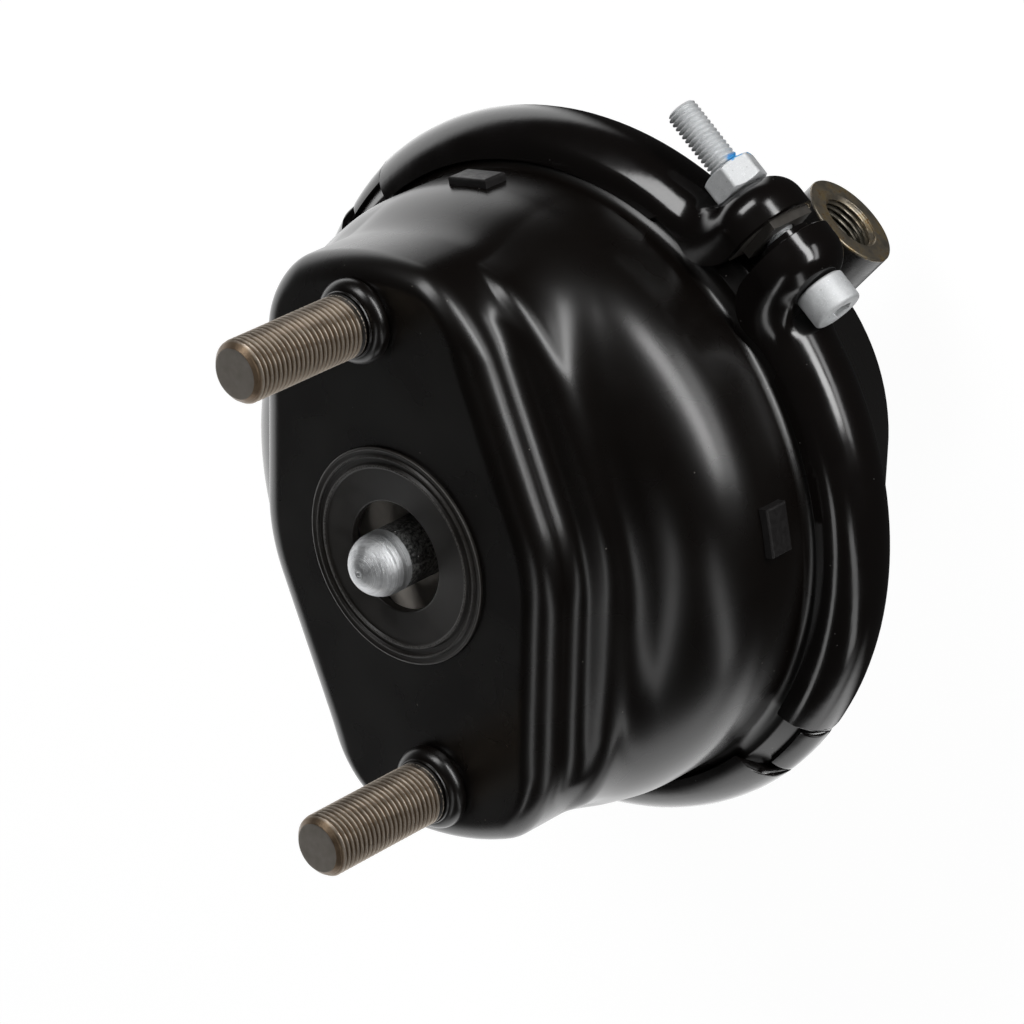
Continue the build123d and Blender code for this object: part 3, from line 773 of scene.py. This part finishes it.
def ear_rows(across, section):
    """One ear as rows from the gap to the band: even steps along the bar, down its face, along the band.

    The rows are then relaxed, each point towards its neighbours' middle, and pulled to the form.
    """
    bar = [ear_place(across, along) for along in np.linspace(EAR_NEAR, EAR_FACE, 40)]
    beside = [ring_place(across, along, section) for along in np.linspace(EAR_FACE, RING_START, 40)]
    fall = [bar[-1] + (beside[0] - bar[-1]) * share for share in np.linspace(0, 1, 40)[1:-1]]
    path = np.stack(bar + fall + beside)
    points = pulled(np.stack([evened(path[..., axis], path, EAR_ROWS) for axis in range(3)], -1), 4)
    for _ in range(30):
        mean = (points[:-2, 1:-1] + points[2:, 1:-1] + points[1:-1, :-2] + points[1:-1, 2:]) / 4
        points[1:-1, 1:-1] += (mean - points[1:-1, 1:-1]) * 0.7
        points[1:-1, 1:-1] = pulled(points[1:-1, 1:-1], 1)
    return pulled(points, 3)


def round_axis(radius, height, turn):
    """Points or directions in the clamp's axes from their radial and axial parts at some angles."""
    return ring(radius, height, turn)[..., [0, 2, 1]]


def band_layer():
    """The band's outer face and its outward directions, as grids in the clamp's axes.

    The axes are out from the chamber, towards its mounting face, and along the bolt.
    """
    section = band_section()
    half = outline_length(section) / 2
    across = np.linspace(-1, 1, SECTION_COLUMNS)
    turns = ring_turns()[:, None]
    places = section_points(section, half + across * notch_limit(turns, half))
    ring = pulled(round_axis(places[..., 0], places[..., 1], turns), 3)
    ear = ear_rows(across, section)
    whole = np.concatenate([ear, ring[1:-1], (ear * np.array([1, 1, -1]))[::-1]])
    normal = form_normal(clamp_distance, whole)
    lean = across * WEB_TURN + 0 * turns
    bent = round_axis(CROWN_R - WEB_BEND * (1 - np.cos(lean)), WEB_BEND * np.sin(lean), turns)
    share = np.zeros((len(whole), 1, 1))
    inside = slice(len(ear), len(whole) - len(ear))
    share[inside] = notch_share(turns)[1:-1, :, None]
    whole[inside] += (bent[1:-1] - whole[inside]) * share[inside]
    normal[inside] += (round_axis(np.cos(lean), np.sin(lean), turns)[1:-1] - normal[inside]) * share[inside]
    return whole, unit(normal)


def clamp_axes():
    """The clamp's own axes: out from the chamber's axis, towards the mounting face, along the bolt."""
    clock = radians(BAND_CLOCK)
    return (cos(clock), sin(clock), 0), (0, 0, 1), (-sin(clock), cos(clock), 0)


def in_clamp(points):
    """Points in the clamp's own axes, moved to the clamp."""
    return placed(points, (0, 0, -CLAMP_DEPTH), *clamp_axes())


def make_clamp_band(material):
    """The band as one closed sheet, both its faces and the edges between them."""
    outer, normal = band_layer()
    inner = outer - BAND_SHEET * normal
    Skin().thick(in_clamp(outer), in_clamp(inner)).make("pressed_clamp_band", material, "gloss_black",
                                                        "clamp_band", 35)


# ---- threads: a radius that falls and rises as it winds along the axis

THREAD_ROOT = 0.14
THREAD_FLANK = 0.70


def thread_radius(top, depth, pitch, along, turn):
    """The radius of a thread: flat crests, rounded roots and straight flanks, once for each pitch."""
    phase = along / pitch - turn / (2 * pi)
    wave = np.abs(2 * (phase - np.floor(phase)) - 1)
    return top - depth * (1 - np.clip((wave - THREAD_ROOT) / THREAD_FLANK, 0, 1))


def threaded_rod(skin, low, high, top, depth, pitch, chamfer, run_out, segments, move):
    """A threaded rod between two heights, its thread running out at the low end, its high end chamfered."""
    turn = full_turn(segments)
    heights = np.linspace(low, high, int((high - low) / pitch * 11))
    deep = depth * ease(heights, low, low + run_out)[:, None]
    radii = thread_radius(top, deep, pitch, heights[:, None], turn[None])
    end = top - chamfer
    radii = np.minimum(radii, end + (high - heights)[:, None])
    start = np.repeat([[0.0], [top * 0.5]], segments, 1)
    caps = np.repeat([[end - 0.25], [end * 0.75], [end * 0.4], [0.0]], segments, 1)
    heights = np.concatenate([[low, low], heights, np.full(4, high + 0.02)])
    points = ring(np.concatenate([start, radii, caps]), heights[:, None], turn)
    return skin.capped(move(points))


STUD_RADIUS = 8.0
STUD_THREAD_DEPTH = 0.82
STUD_PITCH = 1.5
STUD_CHAMFER = 1.7
COLLAR_TOP = 4.2


def make_stud(node, side, paint):
    """A threaded stud and the painted collar round its foot."""
    shift = np.array([side * STUD_R, 0, 0])
    skin = threaded_rod(Skin(), 0.5, STUD_LENGTH - 0.02, STUD_RADIUS, STUD_THREAD_DEPTH, STUD_PITCH,
                        STUD_CHAMFER, 0.5, 84, lambda points: points + shift)
    skin.make(node + "_thread", stud_steel(node + "_steel", side), "stud_steel", node)
    collar = rounded([(7.2, -2.5), (11.0, -2.5), (11.0, -0.5, 0.1), (10.3, -0.15, 0.2), (10.75, 0.6, 0.3),
                      (10.75, COLLAR_TOP, 3.0), (8.5, COLLAR_TOP, 0.2), (8.3, COLLAR_TOP + 0.5, 0.2),
                      (7.2, COLLAR_TOP + 0.5)], 7)
    rows = spin(collar, full_turn(96)) + shift
    Skin().grid(rows, True, True).make(node + "_collar", paint, "satin_black", node)


def along_bolt(points):
    """Points about the bolt's axis, with height along it, moved to the clamp."""
    out, up, along = clamp_axes()
    centre = np.array(out) * BOLT_R + np.array([0, 0, -CLAMP_DEPTH])
    return placed(points, centre, out, up, along)


def hexagon(turn, across_flats):
    """The radius of a hexagon at a clock angle."""
    part = (turn + pi / 6) % (pi / 3) - pi / 6
    return across_flats / 2 / np.cos(part)


NUT_HEIGHT = 6.8
NUT_FLATS = 13.0
NUT_CHAMFER_R = 6.35
NUT_CORNER_R = 7.35
NUT_SLOPE = 1.75
NUT_TURN = radians(25)
NUT_TOP = EAR_FACE + NUT_HEIGHT
BOLT_TAIL = 18.8
BOLT_TIP = NUT_TOP + BOLT_TAIL
BOLT_RADIUS = 4.0
BOLT_THREAD_DEPTH = 0.72
BOLT_PITCH = 1.25
HEAD_HEIGHT = 8.0
HEAD_END = -EAR_FACE - HEAD_HEIGHT
SOCKET_FLATS = 6.0


def make_clamp_bolt(material):
    """A socket-head screw: rings for its head and hexagon socket, and a threaded shank."""
    turn = full_turn(120)
    head = rounded([(3.9, -EAR_FACE), (6.1, -EAR_FACE), (6.5, -EAR_FACE - 0.4, 0.2),
                    (6.5, HEAD_END, 0.9), (5.0, HEAD_END)], 7)
    socket = hexagon(turn, SOCKET_FLATS)
    places = [(0, -EAR_FACE), *head, (socket + 0.45, HEAD_END), (socket + 0.3, HEAD_END + 0.02),
              (socket, HEAD_END + 0.35), (socket, HEAD_END + 4.2), (socket * 0.97, HEAD_END + 4.5),
              (0, HEAD_END + 5.4)]
    skin = Skin().capped(along_bolt(np.stack(rings_at(places, turn))))
    threaded_rod(skin, -EAR_FACE - 0.5, BOLT_TIP, BOLT_RADIUS, BOLT_THREAD_DEPTH, BOLT_PITCH, 0.7, 6.0,
                 64, along_bolt)
    skin.make("socket_head_bolt", material, "zinc_flake", "clamp_bolt", 40)


def make_clamp_nut(material):
    """A hexagon nut: each ring is the smaller of the hexagon and the cone that chamfers its corners."""
    turn = full_turn(144)
    low, high = EAR_FACE, NUT_TOP
    heights = np.concatenate([np.linspace(low, low + 1.3, 12), np.linspace(high - 1.3, high, 12)])
    flats = hexagon(turn - NUT_TURN, NUT_FLATS)
    places = []
    for z in heights:
        cone = NUT_CHAMFER_R + min(z - low, high - z) * NUT_SLOPE
        places.append((np.minimum(np.minimum(flats, cone), NUT_CORNER_R), z))
    places += [(4.6, high), (4.1, high - 0.5), (4.1, low + 0.5), (4.6, low)]
    rings = along_bolt(np.stack(rings_at(places, turn)))
    Skin().grid(rings, True, True).make("hexagon_nut", material, "zinc_flake", "clamp_nut", 30)


# ---- air port

PORT_CLOCK = radians(-48.4)
PORT_TILT = radians(17.7)
PORT_DEPTH = 108.5
PORT_DROP = 20.5
PORT_REACH = 20.87
PORT_PITCH = 1.5
PORT_THREAD_R = 8.1
PORT_THREAD_DEPTH = 0.91
PORT_BORE_R = 7.2
BOSS_R = 12.9
BOSS_HOLE_R = 4.5
BOSS_REACH = 60.0
BOSS_SUNK = 0.4
REAR_CONE = radians(36.5)
REAR_CONE_Z = -88.0
PORT_FACE_R = WALL_R - PORT_DROP * tan(REAR_CONE) + PORT_REACH
PORT_FACE = (PORT_FACE_R * cos(PORT_CLOCK), PORT_FACE_R * sin(PORT_CLOCK), -PORT_DEPTH)


def port_axes():
    """The port's axes: sideways, up, and out along it."""
    out = (cos(PORT_CLOCK) * cos(PORT_TILT), sin(PORT_CLOCK) * cos(PORT_TILT), -sin(PORT_TILT))
    sideways = (-sin(PORT_CLOCK), cos(PORT_CLOCK), 0.0)
    return sideways, tuple(np.cross(out, sideways)), out


def at_port(points):
    """Points in the port's own axes, moved to the port, its end face at height 0."""
    return placed(points, PORT_FACE, *port_axes())


def cup_distance(points):
    """How far points are outside the pressure housing's cone and wall."""
    r = np.hypot(points[..., 0], points[..., 1])
    slope = (r - WALL_R) * cos(REAR_CONE) - (points[..., 2] - REAR_CONE_Z) * sin(REAR_CONE)
    return np.maximum(slope, r - WALL_R)


def make_port_boss(material):
    """A turned boss whose foot follows the cone, with a thread down its bore."""
    turn = full_turn(96)
    foot = -bisected(lambda depth: cup_distance(at_port(ring(BOSS_R, -depth, turn))) > 0,
                     96, BOSS_REACH, 24) - BOSS_SUNK
    side = [(BOSS_R, foot * (1 - share)) for share in np.linspace(0.2, 0.98, 8)]
    end = rounded([(BOSS_R, -0.6), (BOSS_R, 0, 0.5), (9.0, 0), (8.15, 0, 0.2), (7.75, -0.6)], 4)[1:-1]
    rings = rings_at([(BOSS_HOLE_R, foot), (BOSS_R, foot), *side, *end], turn)
    heights = np.linspace(-0.4, -13.5, 96)
    bore = thread_radius(PORT_THREAD_R, PORT_THREAD_DEPTH, PORT_PITCH, heights[:, None], turn[None])
    mouth = PORT_THREAD_R + (heights[:, None] + 0.1)
    bore = np.maximum(bore, np.minimum(mouth, PORT_THREAD_R))
    bore = bore + (PORT_BORE_R - bore) * ease(-heights, 11.0, 13.0)[:, None]
    rings += list(ring(bore, heights[:, None], turn))
    rings += rings_at([(PORT_BORE_R, -14.0), (4.7, -15.2), (BOSS_HOLE_R, -15.5)], turn)
    rows = at_port(np.stack(rings))
    Skin().grid(rows, True, True).make("threaded_port_boss", material, "port_steel", "port_boss", 35)


# ---- pushrod, return spring and mouth seal

ROD_R = 8.0
ROD_TIP = 13.8
ROD_BACK = -130.19
NECK_R = 6.0
NECK_Z = -123.2
SPRING_COILS = 5.0
SPRING_WIRE_R = 2.3
SPRING_FRONT_R = 35.3
SPRING_REAR_R = 27.0
SPRING_FRONT_Z = -7.3
SPRING_REAR_Z = -124.9


def make_pushrod(material):
    """A turned rod with a ball end; a small dimple marks the centre of the ball."""
    turn = np.linspace(0, pi / 2, 60)
    ball = np.stack([ROD_R * np.sin(turn), ROD_TIP - ROD_R + ROD_R * np.cos(turn)], -1)
    ball[:, 1] -= 0.28 * (1 - ease(ball[:, 0], 0.45, 0.75))
    shaft = [(ROD_R, z) for z in np.linspace(5.2, 2.6, 5)]
    shaft += [(7.93, 2.4), (7.93, -20), (ROD_R, -60), (ROD_R, -123.0)]
    foot = [(ROD_R, NECK_Z), (NECK_R, NECK_Z), (NECK_R, ROD_BACK), (0, ROD_BACK)]
    rings = spin(np.concatenate([ball, shaft, foot]), full_turn(112))
    Skin().capped(rings).make("ball_ended_rod", material, "rod_steel", "pushrod", 40, "pushrod_assembly")


def make_return_spring(material):
    """A conical coil: a wire circle carried along a helix whose radius grows evenly to the front.

    It is not attached to a body: its place is baked in, and it does not close up as the push plate moves.
    """
    t = np.linspace(0, 1, 420)
    clock = 2 * pi * SPRING_COILS * t
    radius = SPRING_REAR_R + (SPRING_FRONT_R - SPRING_REAR_R) * t
    height = SPRING_REAR_Z + (SPRING_FRONT_Z - SPRING_REAR_Z) * t
    centre = ring(radius, height, clock)
    along = unit(np.gradient(centre, axis=0))
    side = unit(np.cross(along, ring(1, 0, clock)))
    out = np.cross(side, along)
    turn = full_turn(28)[None, :, None]
    circle = (out[:, None] * np.cos(turn) + side[:, None] * np.sin(turn)) * SPRING_WIRE_R
    rings = centre[:, None] + circle
    rear = [centre[:1, None] + circle[:1] * share for share in (0.0, 0.9)]
    front = [centre[-1:, None] + circle[-1:] * share for share in (0.9, 0.0)]
    rings = np.concatenate([*rear, rings[1:-1], *front])
    reach = ("pushrod_assembly", (0, 0, SPRING_FRONT_Z * MM), (0, 0, SPRING_REAR_Z * MM))
    Skin().capped(rings).make("conical_return_spring", material, "spring_steel", "return_spring", 40,
                              reach=reach)


def make_mouth_seal(material):
    """The seal's ring: a flat inner web, then two sharp ridges and a turned-up rim."""
    top = 0.8
    outline = [(14.2, -1.6, 0.3), (14.2, top, 0.5), (22.7, top, 0.3), (23.05, top + 0.45, 0.12),
               (23.6, top + 0.45, 0.25), (24.1, top - 0.25, 0.3), (25.2, top - 0.25, 0.3),
               (25.5, top + 0.35, 0.12), (25.9, top + 0.35, 0.2), (26.3, top - 0.2, 0.2),
               (27.2, top - 0.1, 0.2), (27.5, top + 0.05, 0.1), (28.0, top - 0.05, 0.25),
               (28.0, -3.0), (29.8, -3.0), (29.8, -5.0), (21.0, -5.0), (21.0, -1.6)]
    rows = spin(rounded(outline, 4, closed=True), full_turn(180))
    Skin().grid(rows, True, True).make("ridged_mouth_seal", material, "seal_rubber", "mouth_seal", 45)


# ---- finishes

def satin_black():
    """Dip paint: warm black, faintly uneven, with dust specks."""
    tree = new_finish("satin_black_paint")
    cloud = tree.noise(26, 3)
    peel = tree.noise(1.4, 2)
    dust = tree.specks(6.5, 0.04)
    colour = tree.mixed(cloud, (0.0016, 0.0009, 0.0006), (0.0034, 0.0023, 0.0017))
    colour = tree.mixed(tree.times(dust, 0.3), colour, (0.35, 0.33, 0.30))
    rough = tree.ramp(cloud, 0.3, 0.7, 0.26, 0.295)
    normal = tree.bump(peel, 0.008, tree.bump(cloud, 0.03))
    return tree.surface(colour, rough, 0, 0.56, normal)


def gloss_black():
    """Sprayed enamel: deep black and glossy, with a slight orange peel and dust."""
    tree = new_finish("gloss_black_enamel")
    cloud = tree.noise(14, 3)
    peel = tree.noise(2.2, 2)
    dust = tree.specks(4.2, 0.045)
    colour = tree.mixed(tree.times(dust, 0.3), (0.0042, 0.0033, 0.0030), (0.3, 0.29, 0.28))
    rough = tree.ramp(cloud, 0.3, 0.7, 0.13, 0.18)
    normal = tree.bump(peel, 0.010, tree.bump(cloud, 0.05))
    return tree.surface(colour, rough, 0, 0.65, normal)


def stud_steel(name, side):
    """Phosphated steel: brown in the roots, grey on the crests, paint mist by the foot, a dull end."""
    tree = new_finish(name)
    x, y, z = tree.local((side * STUD_R, 0, 0))
    radius = tree.radius(x, y)
    mottle = tree.noise(2.6, 5, 0.65)
    fine = tree.noise(0.5, 3)
    crest = tree.ramp(tree.plus(radius, tree.times(fine, 0.25)), 7.45, 8.12)
    brown = tree.mixed(mottle, (0.075, 0.048, 0.028), (0.20, 0.145, 0.095))
    grey = tree.mixed(mottle, (0.23, 0.185, 0.14), (0.46, 0.41, 0.35))
    steel = tree.mixed(crest, brown, grey)
    end = tree.ramp(z, STUD_LENGTH - 0.06, STUD_LENGTH - 0.01)
    face = tree.mixed(tree.noise(3.2, 4), (0.20, 0.18, 0.15), (0.34, 0.31, 0.28))
    steel = tree.mixed(end, steel, face)
    mist = tree.ramp(tree.plus(z, tree.times(mottle, 1.2)), 7.4, 6.6)
    worn = tree.times(tree.ramp(radius, 7.88, 7.99), tree.ramp(fine, 0.42, 0.5))
    painted = tree.times(mist, tree.rest(worn))
    colour = tree.mixed(painted, steel, (0.006, 0.005, 0.004))
    metal = tree.times(tree.rest(painted), 0.78)
    rough = tree.plus(tree.ramp(mottle, 0.3, 0.7, 0.34, 0.50), tree.times(end, 0.10))
    normal = tree.bump(fine, 0.03, tree.bump(mottle, 0.04))
    return tree.surface(colour, rough, metal, 0.5, normal)


# ---- which side of the bolt the blue paint dab is on
DAB_OUT = 0.55
DAB_UP = -0.83


def zinc_flake():
    """A matt flake coat: pale grey, mottled, with fine bright flakes and small dark pits."""
    tree = new_finish("zinc_flake_coat")
    cloud = tree.noise(2.4, 5, 0.7)
    flake = tree.noise(0.22, 2)
    pits = tree.specks(1.9, 0.10)
    shade = tree.mixed(cloud, (0.50, 0.515, 0.52), (0.78, 0.79, 0.80))
    shade = tree.mixed(tree.ramp(flake, 0.58, 0.72), shade, (0.90, 0.91, 0.92))
    shade = tree.mixed(tree.times(pits, 0.6), shade, (0.14, 0.14, 0.14))
    out, up, along = clamp_axes()
    centre = [out[axis] * BOLT_R - up[axis] * CLAMP_DEPTH for axis in range(3)]
    across, high, far = tree.local(centre, (out, up, along))
    wet = tree.plus(far, tree.times(tree.noise(1.8, 3), 1.6))
    band = tree.times(tree.ramp(wet, NUT_TOP + 0.2, NUT_TOP + 0.5),
                     tree.ramp(wet, NUT_TOP + 2.9, NUT_TOP + 2.5))
    side = tree.plus(tree.times(across, DAB_OUT), tree.times(high, DAB_UP))
    dab = tree.times(band, tree.ramp(side, 0.2, 1.0))
    shade = tree.mixed(dab, shade, (0.06, 0.36, 0.72))
    metal = tree.times(tree.rest(dab), 0.45)
    rough = tree.ramp(cloud, 0.3, 0.7, 0.50, 0.66)
    normal = tree.bump(flake, 0.02, tree.bump(cloud, 0.10))
    return tree.surface(shade, rough, metal, 0.5, normal)


def port_steel():
    """Bare turned steel: grey and straw brown, rust at the rim of its end, black paint down its side, and
    painted shade darkening its threaded bore deeper in.
    """
    tree = new_finish("port_steel_finish")
    x, y, z = tree.local(PORT_FACE, port_axes())
    radius = tree.radius(x, y)
    cloud = tree.noise(4.5, 5, 0.65)
    fine = tree.noise(0.6, 4)
    steel = tree.colours(cloud, (0.30, (0.20, 0.185, 0.165)), (0.50, (0.33, 0.285, 0.215)),
                         (0.68, (0.36, 0.27, 0.13)))
    rust = tree.times(tree.ramp(fine, 0.52, 0.68), tree.ramp(cloud, 0.45, 0.60))
    steel = tree.mixed(rust, steel, (0.22, 0.09, 0.025))
    # painted shade: the steel's colour darkens from the end face deeper into the bore
    bore_painted_shade = tree.mixed(tree.ramp(z, -0.6, -3.5), steel, (0.17, 0.155, 0.125))
    # the painted shade covers the bore, inside the thread's radius
    bore = tree.ramp(radius, 8.6, 8.3)
    steel = tree.mixed(bore, steel, bore_painted_shade)
    edge = tree.plus(z, tree.times(fine, 0.5))
    paint = tree.times(tree.ramp(radius, 12.55, 12.75), tree.ramp(edge, -0.1, -0.5))
    colour = tree.mixed(paint, steel, (0.006, 0.005, 0.0045))
    metal = tree.times(tree.rest(paint), 0.85)
    rough = tree.math("SUBTRACT", tree.ramp(cloud, 0.3, 0.7, 0.34, 0.48), tree.times(paint, 0.14))
    rings = tree.noise(0.35, 2, place=tree.rings(radius, z))
    normal = tree.bump(rings, 0.02, tree.bump(fine, 0.02))
    return tree.surface(colour, rough, metal, 0.55, normal)


def turned_rod():
    """Bright turned steel on the ball, rings round its centre, and a dark mottled shaft behind it."""
    tree = new_finish("turned_rod_steel")
    x, y, z = tree.local((0, 0, ROD_TIP - ROD_R))
    radius = tree.radius(x, y)
    lean = tree.math("ARCTAN2", radius, z)
    walk = tree.times(lean, ROD_R)
    fine = tree.noise(0.22, 4, 0.7, tree.rings(walk, walk))
    broad = tree.noise(1.1, 3, 0.6, tree.rings(walk, walk))
    wander = tree.noise(3.0, 3)
    lines = tree.plus(fine, tree.times(wander, 0.3))
    bright = tree.mixed(tree.ramp(lines, 0.45, 0.85), (0.42, 0.43, 0.44), (0.74, 0.75, 0.76))
    mottle = tree.noise(0.9, 5, 0.7)
    dark = tree.mixed(tree.ramp(mottle, 0.40, 0.66), (0.012, 0.012, 0.012), (0.17, 0.17, 0.165))
    spots = tree.specks(2.6, 0.10)
    dark = tree.mixed(tree.times(spots, 0.8), dark, (0.7, 0.7, 0.7))
    shaft = tree.ramp(tree.plus(z, tree.times(mottle, 0.5)), -2.1, -2.5)
    colour = tree.mixed(shaft, bright, dark)
    rough = tree.plus(tree.ramp(broad, 0.3, 0.7, 0.36, 0.48), tree.times(shaft, 0.05))
    metal = tree.rest(tree.times(shaft, 0.45))
    normal = tree.bump(fine, 0.11, tree.bump(broad, 0.10))
    return tree.surface(colour, rough, metal, 0.5, normal)


def seal_rubber():
    """Dark rubber, a little bloomed, with a fine matt grain; its ridge tops and outer rim are painted paler
    as edge highlights.
    """
    tree = new_finish("bloomed_seal_rubber")
    x, y, z = tree.local((0, 0, 0))
    radius = tree.radius(x, y)
    bloom = tree.noise(6.0, 4)
    grain = tree.noise(0.45, 3)
    colour = tree.mixed(bloom, (0.007, 0.0055, 0.0045), (0.016, 0.0135, 0.011))
    # painted highlight: the ridge tops above the web are made paler, broken up by the grain
    ridge_painted_highlight = tree.times(tree.ramp(z, 1.05, 1.25), tree.ramp(grain, 0.35, 0.55))
    # painted highlight: the outer rim's top edge is made paler
    rim = tree.times(tree.ramp(radius, 27.55, 27.8), tree.ramp(z, 0.55, 0.75))
    pale = tree.math("MAXIMUM", ridge_painted_highlight, rim)
    # the painted edge highlights lighten the rubber's colour
    colour = tree.mixed(tree.times(pale, 0.75), colour, (0.10, 0.095, 0.09))
    rough = tree.ramp(bloom, 0.3, 0.7, 0.38, 0.50)
    return tree.surface(colour, rough, 0, 0.45, tree.bump(grain, 0.02))


def plain(name, colour, roughness, metallic, specular, size, depth):
    """A cast or moulded finish with mottling in its colour, gloss and surface."""
    tree = new_finish(name)
    cloud = tree.noise(size, 4)
    grain = tree.noise(size * 0.15, 3)
    light = tuple(min(1.0, value * 1.2) for value in colour)
    dark = tuple(value * 0.8 for value in colour)
    shade = tree.mixed(cloud, dark, light)
    rough = tree.ramp(cloud, 0.3, 0.7, roughness * 0.85, roughness * 1.15)
    normal = tree.bump(grain, depth, tree.bump(cloud, depth * 2))
    return tree.surface(shade, rough, metallic, specular, normal)


def finish_nodes(material, *nodes):
    """Give some CAD nodes a finish."""
    for node in nodes:
        mesh = NODES[node].data
        mesh.materials.clear()
        mesh.materials.append(material)


def main():
    """The studio, the pieces that replace CAD nodes, and the finishes of the nodes that are kept."""
    bpy.context.scene.view_settings.view_transform = "Standard"
    make_camera()
    make_world()
    make_lamps()
    make_floor()
    satin = satin_black()
    gloss = gloss_black()
    zinc = zinc_flake()
    make_front_housing(satin)
    make_clamp_band(gloss)
    make_stud("stud_a", 1, satin)
    make_stud("stud_b", -1, satin)
    make_clamp_bolt(zinc)
    make_clamp_nut(zinc)
    make_port_boss(port_steel())
    make_pushrod(turned_rod())
    make_mouth_seal(seal_rubber())
    make_return_spring(plain("spring_steel_finish", (0.16, 0.16, 0.17), 0.32, 0.9, 0.5, 3.0, 0.02))
    finish_nodes(satin, "pressure_housing")
    finish_nodes(gloss, "ear_insert_head_side")
    for nodes, *look in (
            (["ear_insert_nut_side"], "insert_steel", (0.085, 0.078, 0.070), 0.42, 0.3, 0.5, 2.0, 0.02),
            (["spring_seat", "push_plate"], "sheet_steel", (0.42, 0.41, 0.39), 0.36, 0.9, 0.5, 5.0, 0.02),
            (["guide_disc"], "guide_plastic_finish", (0.80, 0.74, 0.67), 0.50, 0.0, 0.4, 4.0, 0.02),
            (["drain_plug_%d" % number for number in range(1, 5)], "plug_plastic_finish",
             (0.010, 0.009, 0.009), 0.42, 0.0, 0.45, 1.2, 0.02),
            (["diaphragm"], "diaphragm_rubber_finish", (0.02, 0.02, 0.02), 0.6, 0.0, 0.3, 1.0, 0.05)):
        finish_nodes(plain(*look), *nodes)



main()
bpy.context.view_layer.update()
